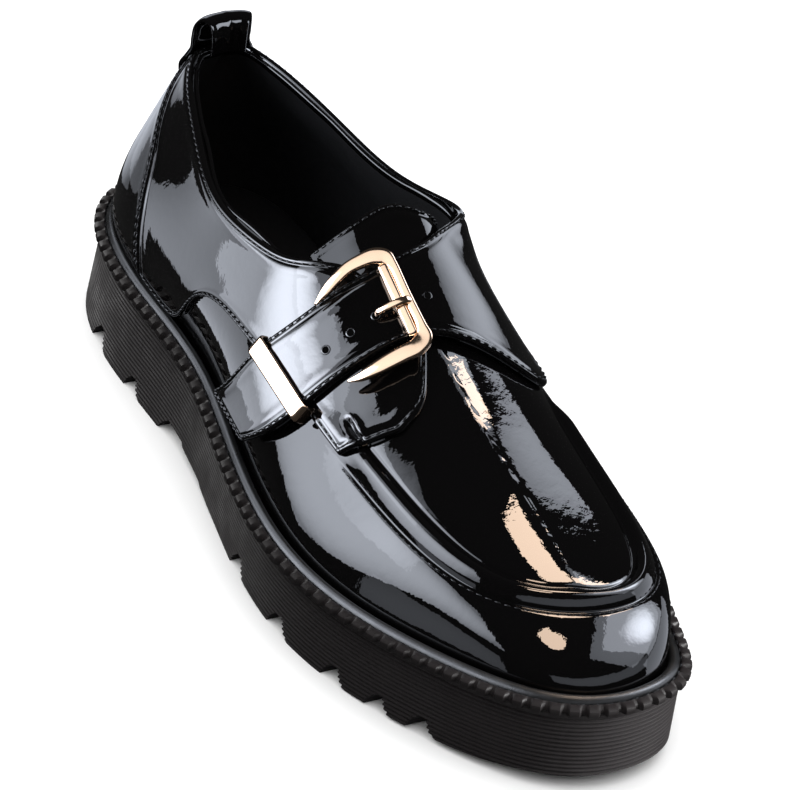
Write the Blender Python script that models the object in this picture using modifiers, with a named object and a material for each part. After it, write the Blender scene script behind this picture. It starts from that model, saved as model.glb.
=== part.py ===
"""Right buckle shoe with a lugged sole: solids for every piece, toe towards -Y, buckle side towards -X."""
import math

import bmesh
import bpy
import numpy as np

# Driving sizes, in millimetres.
LENGTH = 278.0
HALF_LENGTH = LENGTH / 2
PIECE_GAP = 0.3
OVERLAY_GAP = 0.8
WELT_WIDTH = 7.5
UPPER_WALL = 2.0
OVERLAY_WALL = 1.4
TONGUE_WALL = 2.0
STRAP_WALL = 2.0
INSOLE_THICK = 3.0
INSOLE_CLEAR = 1.2
TOE_SPRING = 6.0
TOE_SPRING_START = 205.0
TOE_BLOCK = 248.0
SOLE_OVERHANG = 2.6
HEEL_FLARE = 2.8
RIB_COUNT = 10
RIB_PITCH = 2.2
RIB_DEPTH = 0.55
RIB_START = 2.6
RIDGE_WIDTH = 7.0
RIDGE_HEIGHT = 2.0
RIDGE_START = 179.0
RIDGE_FULL = 193.0
SOLE_DEPTH = 28.0
SOLE_BLANK_DEPTH = 38.0
FLARE_FADE = (80.0, 150.0)
DOME_FADE = (105.0, 140.0)
APRON_FADE = (118.0, 175.0)
ROW_FADE = (128.0, 168.0)
CUTTER_REACH = 80.0
CUTTER_DROP = -30.0
CUTTER_PAST = 10.0
SOLE_STEPS = 64
UPPER_STEPS = 68

# Edge of the welt seen from above: distance from the heel's back, outer side and inner side.
OUTLINE_ROWS = [
    (0, 2.0, 2.0),
    (8, -21.5, 24.5),
    (30, -34.0, 36.3),
    (60, -37.6, 37.6),
    (100, -38.1, 34.3),
    (139, -45.5, 36.4),
    (179, -50.2, 46.8),
    (211, -45.4, 50.2),
    (245, -31.0, 42.4),
    (270, -13.0, 31.0),
    (278, 8.8, 8.8),
]

# Underside of the welt: distance from the heel's back, height.
WELT_ROWS = [(0, 28.0), (70, 27.4), (130, 24.6), (195, 22.4), (240, 23.8), (278, 26.6)]

# Edge line of the upper, which is the apron seam in front and the middle of the quarters behind.
# Station on the outline; along, across and height on the outer side, then on the inner side;
# tilt of the wall in degrees: out at the welt, in at the edge line, in at the collar.
EDGE_ROWS = [
    (0, 13.0, 2.0, 57.0, 13.0, 2.0, 57.0, 4, 24, 36),
    (8, 18.0, -13.5, 57.0, 18.0, 17.0, 57.0, 5, 23, 34),
    (30, 35.5, -25.0, 56.0, 35.0, 27.0, 56.0, 6, 18, 22),
    (60, 62.0, -30.5, 55.0, 62.0, 31.0, 55.5, 7, 12, 14),
    (100, 100.0, -33.6, 55.0, 100.0, 31.0, 56.5, 8, 10, 4),
    (120, 120.0, -34.6, 55.5, 120.0, 32.5, 57.5, 8, 13, 10),
    (139, 139.0, -34.8, 55.0, 138.0, 35.0, 57.0, 8, 20, 30),
    (155, 154.5, -33.6, 53.5, 153.0, 37.0, 55.0, 8, 28, 40),
    (179, 176.5, -31.0, 50.0, 175.5, 38.5, 51.0, 7, 38, 50),
    (211, 204.0, -28.0, 46.6, 205.0, 39.5, 46.0, 7, 46, 50),
    (245, 229.5, -20.8, 43.6, 234.0, 37.4, 42.8, 8, 56, 50),
    (270, 246.0, -6.5, 42.2, 250.0, 27.0, 42.0, 9, 66, 50),
    (278, 252.5, 10.5, 42.0, 252.5, 10.5, 42.0, 9, 68, 50),
]

# Collar and top edge of the tongue: station; along, across and height outside, then inside.
COLLAR_ROWS = [
    (0, 27.0, 2.0, 87.0, 27.0, 2.0, 87.0),
    (8, 30.0, -6.5, 87.0, 30.0, 9.0, 87.0),
    (30, 43.0, -14.0, 86.0, 44.0, 13.5, 86.0),
    (60, 66.0, -21.5, 83.0, 64.0, 18.0, 84.0),
    (100, 103.0, -28.5, 80.5, 101.0, 24.5, 82.0),
    (120, 128.0, -24.0, 84.5, 123.0, 29.0, 86.0),
    (139, 133.5, -13.0, 92.5, 133.0, 17.5, 92.5),
    (155, 131.0, 2.0, 97.0, 131.0, 2.0, 97.0),
]
CROWN_START = 155.0

# Crown line from the tongue's top to the toe: along, across, height.
SPINE_ROWS = [
    (131, 2.0, 97.0),
    (145, 1.6, 89.0),
    (160, 1.8, 79.5),
    (175, 2.5, 71.5),
    (196, 4.5, 62.0),
    (223, 7.0, 52.5),
    (238, 8.0, 47.6),
]

# Point of the crown line that each station's profile runs up to: station, along.
CROWN_ROWS = [(155, 131), (179, 158), (211, 196), (245, 224), (270, 236), (278, 238)]

# Top edge of the upper as a share of the way from edge line to crown: station, share.
THROAT_ROWS = [
    (0, 1),
    (104, 1),
    (112, 0.95),
    (120, 0.83),
    (132, 0.64),
    (146, 0.5),
    (158, 0.52),
    (172, 1),
    (278, 1),
]

# Rows of the upper's mesh: shares of the wall, millimetres across the seam, shares of the apron.
WALL_STEPS = (0, 0.25, 0.5, 0.76, 1.0)
RIDGE_STEPS = (1.2, 3.5, 5.8, 7.0)
PLUG_STEPS = (0.35, 0.7, 1.0)

# Top edge of the tongue: share of the way across, across, along, height.
TONGUE_TOP = [
    (-1.0, -19.5, 128.0, 82.0),
    (-0.5, -11.5, 132.0, 91.5),
    (0.0, 2.0, 131.0, 96.8),
    (0.5, 15.0, 131.0, 92.0),
    (1.0, 22.0, 126.0, 83.5),
]
TONGUE_END = 186.0
TONGUE_SIDE = 0.62
TONGUE_LIFT = -3.4
TONGUE_SAG = 1.5

# Channels across the tread: start and end from the heel's back, depth.
CHANNEL_ROWS = [
    (36, 45, 6.4),
    (63, 70, 5.6),
    (152, 160.5, 6.2),
    (180, 188, 6.0),
    (206, 212.5, 5.6),
    (222, 227.8, 5.2),
    (235, 241, 5.4),
]
# One channel's outline: share of its width, share of its depth, millimetres past its end.
CHANNEL_SHAPE = [
    (0, 0, 0),
    (0.14, 0.42, 0),
    (0.55, 0.93, 0),
    (0.92, 1, 0),
    (1, 0.8, 0),
    (1, 0.45, 0.4),
    (1, 0.12, 1.7),
    (1, 0, 3.4),
]
# Arch between heel and forefoot: from the heel's back, height.
ARCH_ROWS = [(86, 0), (88, 2.8), (91.5, 5.6), (94, 5.9), (106, 3.4), (120, 1.8), (138, 0)]

# Section of the welt: in from its edge, up from its underside.
WELT_SECTION = [
    (0.0, 0.0),
    (0.2, 1.5),
    (2.7, 2.6),
    (3.2, 2.3),
    (3.9, 3.0),
    (5.1, 3.6),
    (6.2, 3.1),
    (6.7, 2.0),
    (6.9, 0.0),
]

# Front seam of the heel counter: girth, station.
COUNTER_SEAM = [(0.18, 56), (0.66, 51.5), (1.04, 47), (1.3, 40), (1.55, 23), (1.74, 12), (2.0, 6.5)]
COUNTER_INNER_SEAM = [(0.18, 55), (0.66, 50.5), (1.04, 46), (1.3, 39), (1.55, 22), (1.74, 11), (2.0, 6)]
SEAM_STEP = 1.0
EDGE_PULL = 2.5

# Outer quarter with its tab, from the counter's seam forward: lower edge (station, girth), upper edge.
QUARTER_ROWS = [
    (57, 0.18, 7.5, 2.0),
    (66, 0.18, 25, 2.0),
    (76, 0.18, 45, 2.0),
    (81, 0.22, 60, 2.0),
    (86, 0.42, 76, 2.0),
    (92, 0.70, 90, 2.0),
    (98, 0.90, 100, 2.0),
    (105, 1.02, 108, 1.98),
    (112, 1.07, 115, 1.93),
    (120, 1.08, 122, 1.855),
    (132, 1.05, 131, 1.72),
    (146, 1.04, 145, 1.60),
    (160, 1.03, 158, 1.60),
    (172, 1.02, 172, 1.74),
    (182, 1.02, 186, 1.86),
]
TAB_FRONT = [
    (182, 1.02),
    (188, 1.14),
    (193, 1.29),
    (196, 1.43),
    (196, 1.56),
    (195, 1.65),
    (190, 1.78),
    (186, 1.86),
]

# Inner quarter in the same way, with its edge along the flap.
INNER_ROWS = [
    (56, 0.18, 7, 2.0),
    (66, 0.18, 25, 2.0),
    (76, 0.18, 45, 2.0),
    (81, 0.22, 62, 2.0),
    (86, 0.42, 78, 2.0),
    (92, 0.70, 90, 2.0),
    (98, 0.90, 100, 2.0),
    (105, 1.02, 107, 2.0),
    (112, 1.06, 112, 2.0),
    (122, 1.055, 117, 1.99),
    (131, 1.045, 123, 1.97),
    (140.7, 1.04, 129.2, 1.905),
]
FLAP_SEAM = [(140.7, 1.04), (136.9, 1.33), (133, 1.62), (129.2, 1.905)]

# Flap and strap, from its tip on the outer side: upper edge (station, around), lower edge, lift.
# Around counts from -2 at the outer welt over 0 at the crown to 2 at the inner welt.
STRAP_ROWS = [
    (122, -1.59, 147, -1.58, 3.0),
    (126, -1.48, 152.5, -1.48, 3.0),
    (133, -1.26, 158, -1.26, 3.0),
    (137, -0.91, 162, -1.02, 3.0),
    (142, -0.80, 166, -0.90, 3.0),
    (150, -0.62, 172, -0.72, 3.0),
    (158, -0.49, 178, -0.48, 3.0),
    (164.5, -0.25, 183, -0.22, 3.0),
    (166.9, 0.0, 187.2, 0.0, 2.8),
    (165.5, 0.09, 187.6, 0.14, 2.5),
    (161.2, 0.205, 187.2, 0.28, 2.1),
    (155.5, 0.285, 186.8, 0.45, 1.5),
    (149, 0.30, 186.3, 0.62, 1.2),
    (143, 0.25, 184, 0.84, 1.0),
    (138.2, 0.205, 173, 0.96, 0.9),
    (134.2, 0.165, 158, 0.96, 0.9),
    (130.5, 0.107, 142, 0.96, 0.9),
]

# Keeper: upper and lower line across the strap (station, around), then the band's other edge.
KEEPER_ROWS = [(136.5, -0.94, 141.0, -0.83), (149, -0.97, 153, -0.87), (163, -1.02, 166.5, -0.93)]
STRAP_LIFT = 3.0
KEEPER_LEGS = 1.2
KEEPER_WALL = 0.8

# Middle line of the buckle frame: station, around, radius.
BUCKLE_ROWS = [
    (152, -0.66, 0.9),
    (155, -0.54, 1.5),
    (159, -0.38, 1.9),
    (162, -0.27, 2.0),
    (165, -0.20, 1.9),
    (170, -0.19, 1.6),
    (178, -0.18, 1.6),
    (184, -0.17, 1.9),
    (187, -0.21, 2.0),
    (185.5, -0.34, 1.9),
    (181, -0.55, 1.5),
    (176.5, -0.73, 0.9),
]
BUCKLE_LIFT = 7.5
ROLLER_ENDS = [(167, -0.29), (182.5, -0.265)]
ROLLER_RADIUS = 1.5
ROLLER_DROP = 0.4
PRONG_ROWS = [(173.2, -0.44, 6.3), (173.7, -0.39, 7.9), (174.6, -0.30, 10.4), (175.4, -0.20, 10.7)]
PRONG_RADIUS = 1.1

# Pull loop at the heel's top: out from and up over the collar line.
LOOP_ROWS = [
    (4.3, 1.6),
    (4.1, 5.0),
    (3.3, 9.6),
    (1.0, 12.2),
    (-2.0, 11.6),
    (-3.6, 7.5),
    (-4.0, 2.5),
    (-4.6, -1.5),
]
LOOP_GIRTHS = (1.72, 1.9)
LOOP_HALF_TURN = 0.105
LOOP_WALL = 1.3
LOOP_COLUMNS = 7

COLLECTION = "buckle_shoe"
MM = 0.001


def turn_of(station):
    """Turn round the shoe (0 at the heel, 1 at the toe) of a distance from the heel's back."""
    return np.arccos(np.clip(1 - 2 * np.asarray(station, float) / LENGTH, -1, 1)) / math.pi


def station_of(turn):
    """Distance from the heel's back at a turn, on either side."""
    return LENGTH * (1 - np.cos(math.pi * np.asarray(turn, float))) / 2


def ease(start, end, value):
    """0 before start, 1 after end, smooth between."""
    share = np.clip((value - start) / (end - start), 0, 1)
    return share * share * (3 - 2 * share)


def hermite(first, first_slope, last, last_slope, share):
    """Cubic from first to last with given end slopes."""
    rest = 1 - share
    return (
        first * (1 + 2 * share) * rest**2
        + first_slope * share * rest**2
        + last * share**2 * (3 - 2 * share)
        - last_slope * share**2 * rest
    )


def table_curve(rows, column, value, even=True):
    """Smooth curve through a table's column over its first column; even keeps it from overshooting."""
    knots = np.array([row[0] for row in rows], float)
    heights = np.array([row[column] for row in rows], float)
    slopes = np.gradient(heights, knots)
    if even:
        steps = np.diff(heights) / np.diff(knots)
        product = steps[:-1] * steps[1:]
        total = np.where(product > 0, steps[:-1] + steps[1:], 1)
        slopes[1:-1] = np.where(product > 0, 2 * product / total, 0)
    value = np.clip(value, knots[0], knots[-1])
    index = np.clip(np.searchsorted(knots, value, side="right") - 1, 0, len(knots) - 2)
    gap = knots[index + 1] - knots[index]
    share = (value - knots[index]) / gap
    return hermite(heights[index], slopes[index] * gap, heights[index + 1], slopes[index + 1] * gap, share)


def ring(rows, outer_columns, inner_columns, turn):
    """Closed cubic curve through a table: outer side from heel to toe, inner side back again."""
    table = np.array(rows, float)
    outer_turns = turn_of(table[:, 0])
    knots = np.append(outer_turns, 2 - outer_turns[-2:0:-1])
    values = np.vstack([table[:, outer_columns], table[-2:0:-1][:, inner_columns]])
    count = len(knots)
    gaps = np.diff(np.append(knots, 2.0))
    rises = (np.roll(values, -1, 0) - values) / gaps[:, None]
    matrix = np.zeros((count, count))
    for i in range(count):
        matrix[i, i] = 2 * (gaps[i - 1] + gaps[i])
        matrix[i, (i + 1) % count] = gaps[i]
        matrix[i, i - 1] = gaps[i - 1]
    bends = np.linalg.solve(matrix, 6 * (rises - np.roll(rises, 1, 0)))
    turn = np.mod(turn, 2.0)
    here = np.searchsorted(knots, turn, side="right") - 1
    there = (here + 1) % count
    gap = gaps[here][:, None]
    past = (turn - knots[here])[:, None]
    left = gap - past
    bent = (bends[here] * left**3 + bends[there] * past**3) / (6 * gap)
    start = (values[here] / gap - bends[here] * gap / 6) * left
    end = (values[there] / gap - bends[there] * gap / 6) * past
    return bent + start + end


def side_turn(turn):
    """Turn folded onto the outer side, 0 to 1."""
    turn = np.mod(turn, 2.0)
    return np.where(turn > 1, 2 - turn, turn)


def outline(turn, inset=0.0):
    """Edge of the welt at each turn, moved in by inset: points (across, along) and inward directions."""
    turn = np.asarray(turn, float)

    def edge(at):
        return np.column_stack([ring(OUTLINE_ROWS, [1], [2], at), HALF_LENGTH - station_of(at)])

    tangent = edge(turn + 1e-4) - edge(turn - 1e-4)
    tangent /= np.linalg.norm(tangent, axis=1)[:, None]
    inward = np.column_stack([-tangent[:, 1], tangent[:, 0]])
    return edge(turn) + np.reshape(inset, (-1, 1)) * inward, inward


def welt_height(y):
    """Height of the welt's underside at a y."""
    return table_curve(WELT_ROWS, 1, HALF_LENGTH - y)


def edge_frame(turn):
    """Welt line, edge line and crown line points at each turn, with the tilts and directions there."""
    station = station_of(side_turn(turn))
    inner = np.mod(turn, 2.0) > 1
    foot, inward = outline(turn, WELT_WIDTH)
    low = np.column_stack([foot, welt_height(foot[:, 1])])
    table = ring(EDGE_ROWS, [2, 1, 3, 7, 8, 9], [5, 4, 6, 7, 8, 9], turn)
    edge = np.column_stack([table[:, 0], HALF_LENGTH - table[:, 1], table[:, 2]])
    tilts = np.radians(table[:, 3:6])
    turn_rows = [(turn_of(row[0]), *row[1:]) for row in COLLAR_ROWS]
    folded = side_turn(turn)
    outer_top = [table_curve(turn_rows, column, folded, False) for column in (2, 1, 3)]
    inner_top = [table_curve(turn_rows, column, folded, False) for column in (5, 4, 6)]
    crown = np.where(inner[:, None], np.transpose(inner_top), np.transpose(outer_top))
    along = table_curve(CROWN_ROWS, 1, station)
    spine = np.column_stack([table_curve(SPINE_ROWS, 1, along), along, table_curve(SPINE_ROWS, 2, along)])
    crown = np.where((station >= CROWN_START)[:, None], spine, crown)
    inside = np.clip(along, SPINE_ROWS[0][0] + 0.5, SPINE_ROWS[-1][0] - 0.5)
    fall = table_curve(SPINE_ROWS, 2, inside + 0.5) - table_curve(SPINE_ROWS, 2, inside - 0.5)
    crown[:, 1] = HALF_LENGTH - crown[:, 1]
    return station, np.column_stack([inward, np.zeros(len(turn))]), low, edge, crown, tilts, -fall


def upper_point(turn, girth):
    """Outer face of the upper without its apron ridge: girth 0 welt, 1 edge line, 2 collar or crown."""
    turn, girth = np.broadcast_arrays(*map(np.atleast_1d, (turn, girth)))
    station, inward, low, edge, crown, tilts, fall = edge_frame(turn)
    up = np.array([0.0, 0.0, 1.0])

    def lean(column, sign, length):
        angle = tilts[:, column][:, None]
        return length * (sign * np.sin(angle) * inward + np.cos(angle) * up)

    wall_length = np.linalg.norm(edge - low, axis=1)[:, None]
    share = np.clip(girth, 0, 1)[:, None]
    wall = hermite(low, lean(0, -1, wall_length), edge, lean(1, 1, wall_length), share)
    reach = crown - edge
    rise = reach[:, 2:]
    flat = reach * (1 - up)
    top_length = np.linalg.norm(reach, axis=1)[:, None]
    end_rise = fall[:, None] * flat[:, 1:2]
    front = ease(*APRON_FADE, station)[:, None]
    dome = ease(*DOME_FADE, station)[:, None]
    start_slope = lean(1, 1, top_length) * (1 - front) + (flat + (2 * rise - end_rise) * up) * front
    end_slope = lean(2, 1, top_length) * (1 - dome) + (flat + end_rise * up) * dome
    top = hermite(edge, start_slope, crown, end_slope, np.clip(girth - 1, 0, 1)[:, None])
    return np.where((girth <= 1)[:, None], wall, top)


def top_reach(turn):
    """Distance from edge line to crown at each turn."""
    _, _, _, edge, crown, _, _ = edge_frame(np.asarray(turn, float))
    return np.linalg.norm(crown - edge, axis=1)


def ridge(turn, girth):
    """Height of the rolled apron seam over the upper's face."""
    station = station_of(side_turn(turn))
    across = (girth - 1) * top_reach(turn) / RIDGE_WIDTH
    bump = np.sin(math.pi * np.clip(across, 0, 1)) ** 0.8
    return RIDGE_HEIGHT * bump * ease(RIDGE_START, RIDGE_FULL, station)


def lifted(turn, girth, lift):
    """Point at a lift over the upper's face and its ridge, along the face's own direction."""
    turn, girth, lift = np.broadcast_arrays(*map(np.atleast_1d, (turn, girth, lift)))
    step = 0.004
    around = upper_point(turn + step, girth) - upper_point(turn - step, girth)
    upward = upper_point(turn, np.clip(girth + step, 0, 2)) - upper_point(turn, np.clip(girth - step, 0, 2))
    normal = np.cross(around, upward)
    normal /= np.maximum(np.linalg.norm(normal, axis=1), 1e-9)[:, None]
    return upper_point(turn, girth) + (ridge(turn, girth) + lift)[:, None] * normal


def over_instep(station, around, lift):
    """Lifted point by station and way around: -2 outer welt, 0 crown, 2 inner welt."""
    station, around, lift = np.broadcast_arrays(*map(np.atleast_1d, (station, around, lift)))
    turn = np.where(around > 0, 2 - turn_of(station), turn_of(station))
    return lifted(turn, 2 - np.abs(around), lift)


def material(name, color, roughness, metallic=0.0):
    """Principled material of one finish."""
    made = bpy.data.materials.new(name)
    made.use_nodes = True
    shader = made.node_tree.nodes["Principled BSDF"]
    shader.inputs["Base Color"].default_value = (*color, 1.0)
    shader.inputs["Roughness"].default_value = roughness
    shader.inputs["Metallic"].default_value = metallic
    return made


def make_object(name, points, faces, finish, smooth=True):
    """Mesh object from points in millimetres, with coincident points joined."""
    mesh = bpy.data.meshes.new(name)
    mesh.from_pydata([tuple(point) for point in np.asarray(points) * MM], [], faces)
    work = bmesh.new()
    work.from_mesh(mesh)
    bmesh.ops.remove_doubles(work, verts=work.verts, dist=0.00001)
    work.to_mesh(mesh)
    work.free()
    if smooth:
        mesh.shade_smooth()
    mesh.materials.append(finish)
    made = bpy.data.objects.new(name, mesh)
    parts.objects.link(made)
    return made


def grid_faces(rows, columns, closed=False):
    """Quads of a grid of points stored row by row, round its columns if closed."""
    faces = []
    for row in range(rows - 1):
        for column in range(columns if closed else columns - 1):
            after = (column + 1) % columns
            low, high = row * columns, (row + 1) * columns
            faces.append((low + column, low + after, high + after, high + column))
    return faces


def shell(name, grid, wall, finish, closed=False):
    """Open sheet of a grid of points with a wall on its inner side."""
    rows, columns, _ = grid.shape
    made = make_object(name, grid.reshape(-1, 3), grid_faces(rows, columns, closed), finish)
    thicken = made.modifiers.new("Wall", "SOLIDIFY")
    thicken.thickness = wall * MM
    thicken.offset = -1.0
    return made


def sheet(name, outer, inner, finish):
    """Solid between two grids of points, the outer and the inner face of a leather piece."""
    rows, columns, _ = outer.shape
    count = rows * columns
    faces = grid_faces(rows, columns)
    faces += [tuple(count + i for i in reversed(face)) for face in faces]
    index = np.arange(count).reshape(rows, columns)
    rim = np.concatenate([index[0, :-1], index[:-1, -1], index[-1, :0:-1], index[:0:-1, 0]])
    after = np.roll(rim, -1)
    faces += [(int(b), int(a), int(a) + count, int(b) + count) for a, b in zip(rim, after)]
    make_object(name, np.concatenate([outer.reshape(-1, 3), inner.reshape(-1, 3)]), faces, finish)


def even_turns(steps):
    """Turns round the whole shoe, heel first."""
    return np.arange(steps) * 2 / steps


def loft(name, rings, finish):
    """Closed solid through rings of equal count, lowest first, with strips across both ends."""
    rings = np.array(rings)
    levels, count, _ = rings.shape
    faces = grid_faces(levels, count, True)
    for level, flip in ((0, True), (levels - 1, False)):
        base = level * count
        for i in range(count // 2):
            left = [base + i, base + i + 1]
            right = [base + (count - i - 1) % count, base + (count - i) % count]
            face = [left[0], left[1], right[0], right[1]]
            face = list(dict.fromkeys(face))
            faces.append(tuple(reversed(face)) if flip else tuple(face))
    return make_object(name, rings.reshape(-1, 3), faces, finish, smooth=False)


def tread_profile():
    """Underside seen from the side, heel to toe: distance from the heel's back and height."""
    def floor(along):
        return TOE_SPRING * (max(along - TOE_SPRING_START, 0) / (LENGTH - TOE_SPRING_START)) ** 2

    groups = [[(along, height) for along, height in ARCH_ROWS]]
    for start, end, depth in CHANNEL_ROWS:
        width = end - start
        shape = [(start + share * width + past, part * depth) for share, part, past in CHANNEL_SHAPE]
        groups.append(shape)
    groups.append([(along, 0.0) for along in np.linspace(TOE_BLOCK, LENGTH + CUTTER_PAST, 8)])
    points = [(-CUTTER_PAST, 0.0)]
    for group in sorted(groups):
        points.extend((along, height + floor(along)) for along, height in group)
    return points


def make_outsole():
    """Ribbed unit sole: a loft down its side, cut below by the profile of the tread."""
    turns = even_turns(SOLE_STEPS)
    levels = [(0.0, 0.0), (RIB_START - 0.6, 0.0)]
    for rib in range(RIB_COUNT):
        depth = RIB_START + rib * RIB_PITCH
        levels += [(depth, RIB_DEPTH), (depth + RIB_PITCH / 2, 0.0)]
    levels += [(RIB_START + RIB_COUNT * RIB_PITCH, 0.0), (SOLE_BLANK_DEPTH, 0.0)]
    station = station_of(side_turn(turns))
    flare = HEEL_FLARE * (1 - ease(*FLARE_FADE, station))
    rings = []
    for depth, groove in reversed(levels):
        share = min(depth, SOLE_DEPTH) / SOLE_DEPTH
        points, _ = outline(turns, SOLE_OVERHANG + groove - flare * share)
        height = welt_height(points[:, 1]) - PIECE_GAP - depth
        rings.append(np.column_stack([points, height]))
    sole = loft("outsole", rings, rubber)
    profile = tread_profile()
    profile += [(LENGTH + CUTTER_PAST, CUTTER_DROP), (-CUTTER_PAST, CUTTER_DROP)]
    count = len(profile)
    sides = (-CUTTER_REACH, CUTTER_REACH)
    points = [(side, HALF_LENGTH - along, height) for side in sides for along, height in profile]
    faces = [tuple(range(count)), tuple(reversed(range(count, 2 * count)))]
    faces += [(i, i + count, (i + 1) % count + count, (i + 1) % count) for i in range(count)]
    cutter = make_object("tread_cutter", points, faces, rubber, smooth=False)
    work = bmesh.new()
    work.from_mesh(cutter.data)
    bmesh.ops.recalc_face_normals(work, faces=work.faces)
    work.to_mesh(cutter.data)
    work.free()
    parts.objects.unlink(cutter)
    cutters.objects.link(cutter)
    cutter.hide_render = True
    cutter.display_type = "WIRE"
    cut = sole.modifiers.new("Tread", "BOOLEAN")
    cut.object = cutter
    cut.operation = "DIFFERENCE"
    cut.solver = "EXACT"


def make_welt():
    """Welt: its section swept round the outline."""
    turns = even_turns(SOLE_STEPS)
    loops = []
    for inset, rise in WELT_SECTION + WELT_SECTION[:1]:
        points, _ = outline(turns, inset)
        edge, _ = outline(turns)
        loops.append(np.column_stack([points, welt_height(edge[:, 1]) + rise]))
    grid = np.array(loops)
    rows, columns, _ = grid.shape
    made = make_object("welt", grid.reshape(-1, 3), grid_faces(rows, columns, True), rubber)
    made.data.set_sharp_from_angle(angle=math.radians(40))


def make_insole():
    """Flat board inside the upper's wall."""
    turns = even_turns(SOLE_STEPS)
    points, _ = outline(turns, WELT_WIDTH + UPPER_WALL + INSOLE_CLEAR)
    height = welt_height(points[:, 1])
    rings = [np.column_stack([points, height + lift]) for lift in (0.0, INSOLE_THICK)]
    loft("insole", rings, lining)


def make_upper():
    """Hollow shell from the welt to collar, throat and apron, with the rolled apron seam."""
    turns = even_turns(UPPER_STEPS)
    station = station_of(side_turn(turns))
    reach = top_reach(turns)
    throat = table_curve(THROAT_ROWS, 1, station)
    in_front = ease(*ROW_FADE, station)
    girths = [np.full(len(turns), step) for step in WALL_STEPS]
    count = len(RIDGE_STEPS) + len(PLUG_STEPS)
    for i, step in enumerate(RIDGE_STEPS):
        even = (i + 1) / count * throat
        girths.append(1 + even * (1 - in_front) + step / reach * in_front)
    inside = RIDGE_WIDTH / reach
    for i, step in enumerate(PLUG_STEPS):
        even = (i + 1 + len(RIDGE_STEPS)) / count * throat
        seam = inside + (throat - inside) * step
        girths.append(1 + even * (1 - in_front) + seam * in_front)
    grid = np.array([lifted(turns, girth, 0.0) for girth in girths])
    crown = (throat >= 1) & (station >= CROWN_START)
    grid[-1, crown] = upper_point(turns[crown], np.full(crown.sum(), 2.0))
    shell("upper", grid, UPPER_WALL, patent, closed=True)


def make_tongue():
    """Tongue: a sheet from its free top edge to the instep's own face inside the upper."""
    share = np.linspace(-1, 1, 13)
    top = np.column_stack([table_curve(TONGUE_TOP, column, share, False) for column in (1, 2, 3)])
    top[:, 1] = HALF_LENGTH - top[:, 1]
    end = over_instep(TONGUE_END, share * TONGUE_SIDE, TONGUE_LIFT)
    way = np.linspace(0, 1, 7)[:, None, None]
    sag = TONGUE_SAG * np.sin(math.pi * way) * np.array([0, 0, 1])
    shell("tongue", end * (1 - way) + top * way - sag, TONGUE_WALL, patent)


def along_rows(rows, count):
    """Points evenly spread along a smooth curve through rows of (station, girth), as turn and girth."""
    table = np.array([(turn_of(station), girth) for station, girth in rows])
    steps = np.linalg.norm(np.diff(table * (1, 0.4), axis=0), axis=1)
    length = np.append(0, np.cumsum(steps))
    keyed = [(length[i], *table[i]) for i in range(len(table))]
    where = np.linspace(0, length[-1], count)
    return np.column_stack([table_curve(keyed, column, where) for column in (1, 2)])


def patch(rows, rear, front, columns, levels):
    """Grid of turn and girth: between a table's two edges, drawn to given rear and front edges."""
    keyed = [(i, turn_of(row[0]), row[1], turn_of(row[2]), row[3]) for i, row in enumerate(rows)]
    where = np.linspace(0, len(rows) - 1, columns)
    low = np.column_stack([table_curve(keyed, column, where) for column in (1, 2)])
    high = np.column_stack([table_curve(keyed, column, where) for column in (3, 4)])
    b = np.linspace(0, 1, levels)[:, None, None]
    grid = (1 - b) * low[None] + b * high[None]
    a = np.linspace(0, 1, columns)[None, :, None]
    rear_pull = along_rows(rear, levels)[:, None] - grid[:, :1]
    front_pull = along_rows(front, levels)[:, None] - grid[:, -1:]
    return grid + rear_pull * (1 - a) ** EDGE_PULL + front_pull * a**EDGE_PULL


def overlay(name, turns_girths, side, lift=OVERLAY_GAP):
    """Overlay on the upper from a grid of turn and girth on the outer (1) or inner (-1) side."""
    rows, columns, _ = turns_girths.shape
    turn = np.mod(side * turns_girths[..., 0].ravel(), 2.0)
    girth = turns_girths[..., 1].ravel()
    outer = lifted(turn, girth, lift + OVERLAY_WALL).reshape(rows, columns, 3)
    inner = lifted(turn, girth, lift).reshape(rows, columns, 3)
    if side < 0:
        outer, inner = outer[:, ::-1], inner[:, ::-1]
    sheet(name, outer, inner, patent)


def behind_seam(seam):
    """Rear edge of a quarter, a step in front of the counter's seam: rows of station and girth."""
    girth = np.linspace(seam[0][0], seam[-1][0], 15)
    return list(zip(table_curve(seam, 1, girth) + SEAM_STEP, girth))


def make_quarters():
    """Outer quarter with the buckle's tab, and inner quarter."""
    rear = behind_seam(COUNTER_SEAM)
    overlay("lateral_quarter", patch(QUARTER_ROWS, rear, TAB_FRONT, 27, 9), 1)
    rear = behind_seam(COUNTER_INNER_SEAM)
    overlay("medial_quarter", patch(INNER_ROWS, rear, FLAP_SEAM, 19, 9), -1)


def make_counter():
    """Heel counter between its two seams."""
    rows, columns = 10, 15
    girth = np.linspace(COUNTER_SEAM[0][0], 2.0, rows)
    outer = turn_of(table_curve(COUNTER_SEAM, 1, girth))
    inner = turn_of(table_curve(COUNTER_INNER_SEAM, 1, girth))
    share = np.linspace(0, 1, columns)
    turns = -inner[:, None] * (1 - share) + outer[:, None] * share
    girths = np.repeat(girth[:, None], columns, axis=1)
    overlay("heel_counter", np.dstack([turns, girths]), 1)


def make_pull_loop():
    """Folded strip over the heel's top edge."""
    turns = np.linspace(-LOOP_HALF_TURN, LOOP_HALF_TURN, LOOP_COLUMNS)
    _, inward, _, _, collar, _, _ = edge_frame(turns)
    rows = [lifted(turns, girth, 2 * OVERLAY_GAP + OVERLAY_WALL + LOOP_WALL) for girth in LOOP_GIRTHS]
    for out, rise in LOOP_ROWS:
        rows.append(collar - inward * out + np.array([0, 0, rise]))
    shell("pull_loop", np.array(rows), LOOP_WALL, patent)


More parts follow.
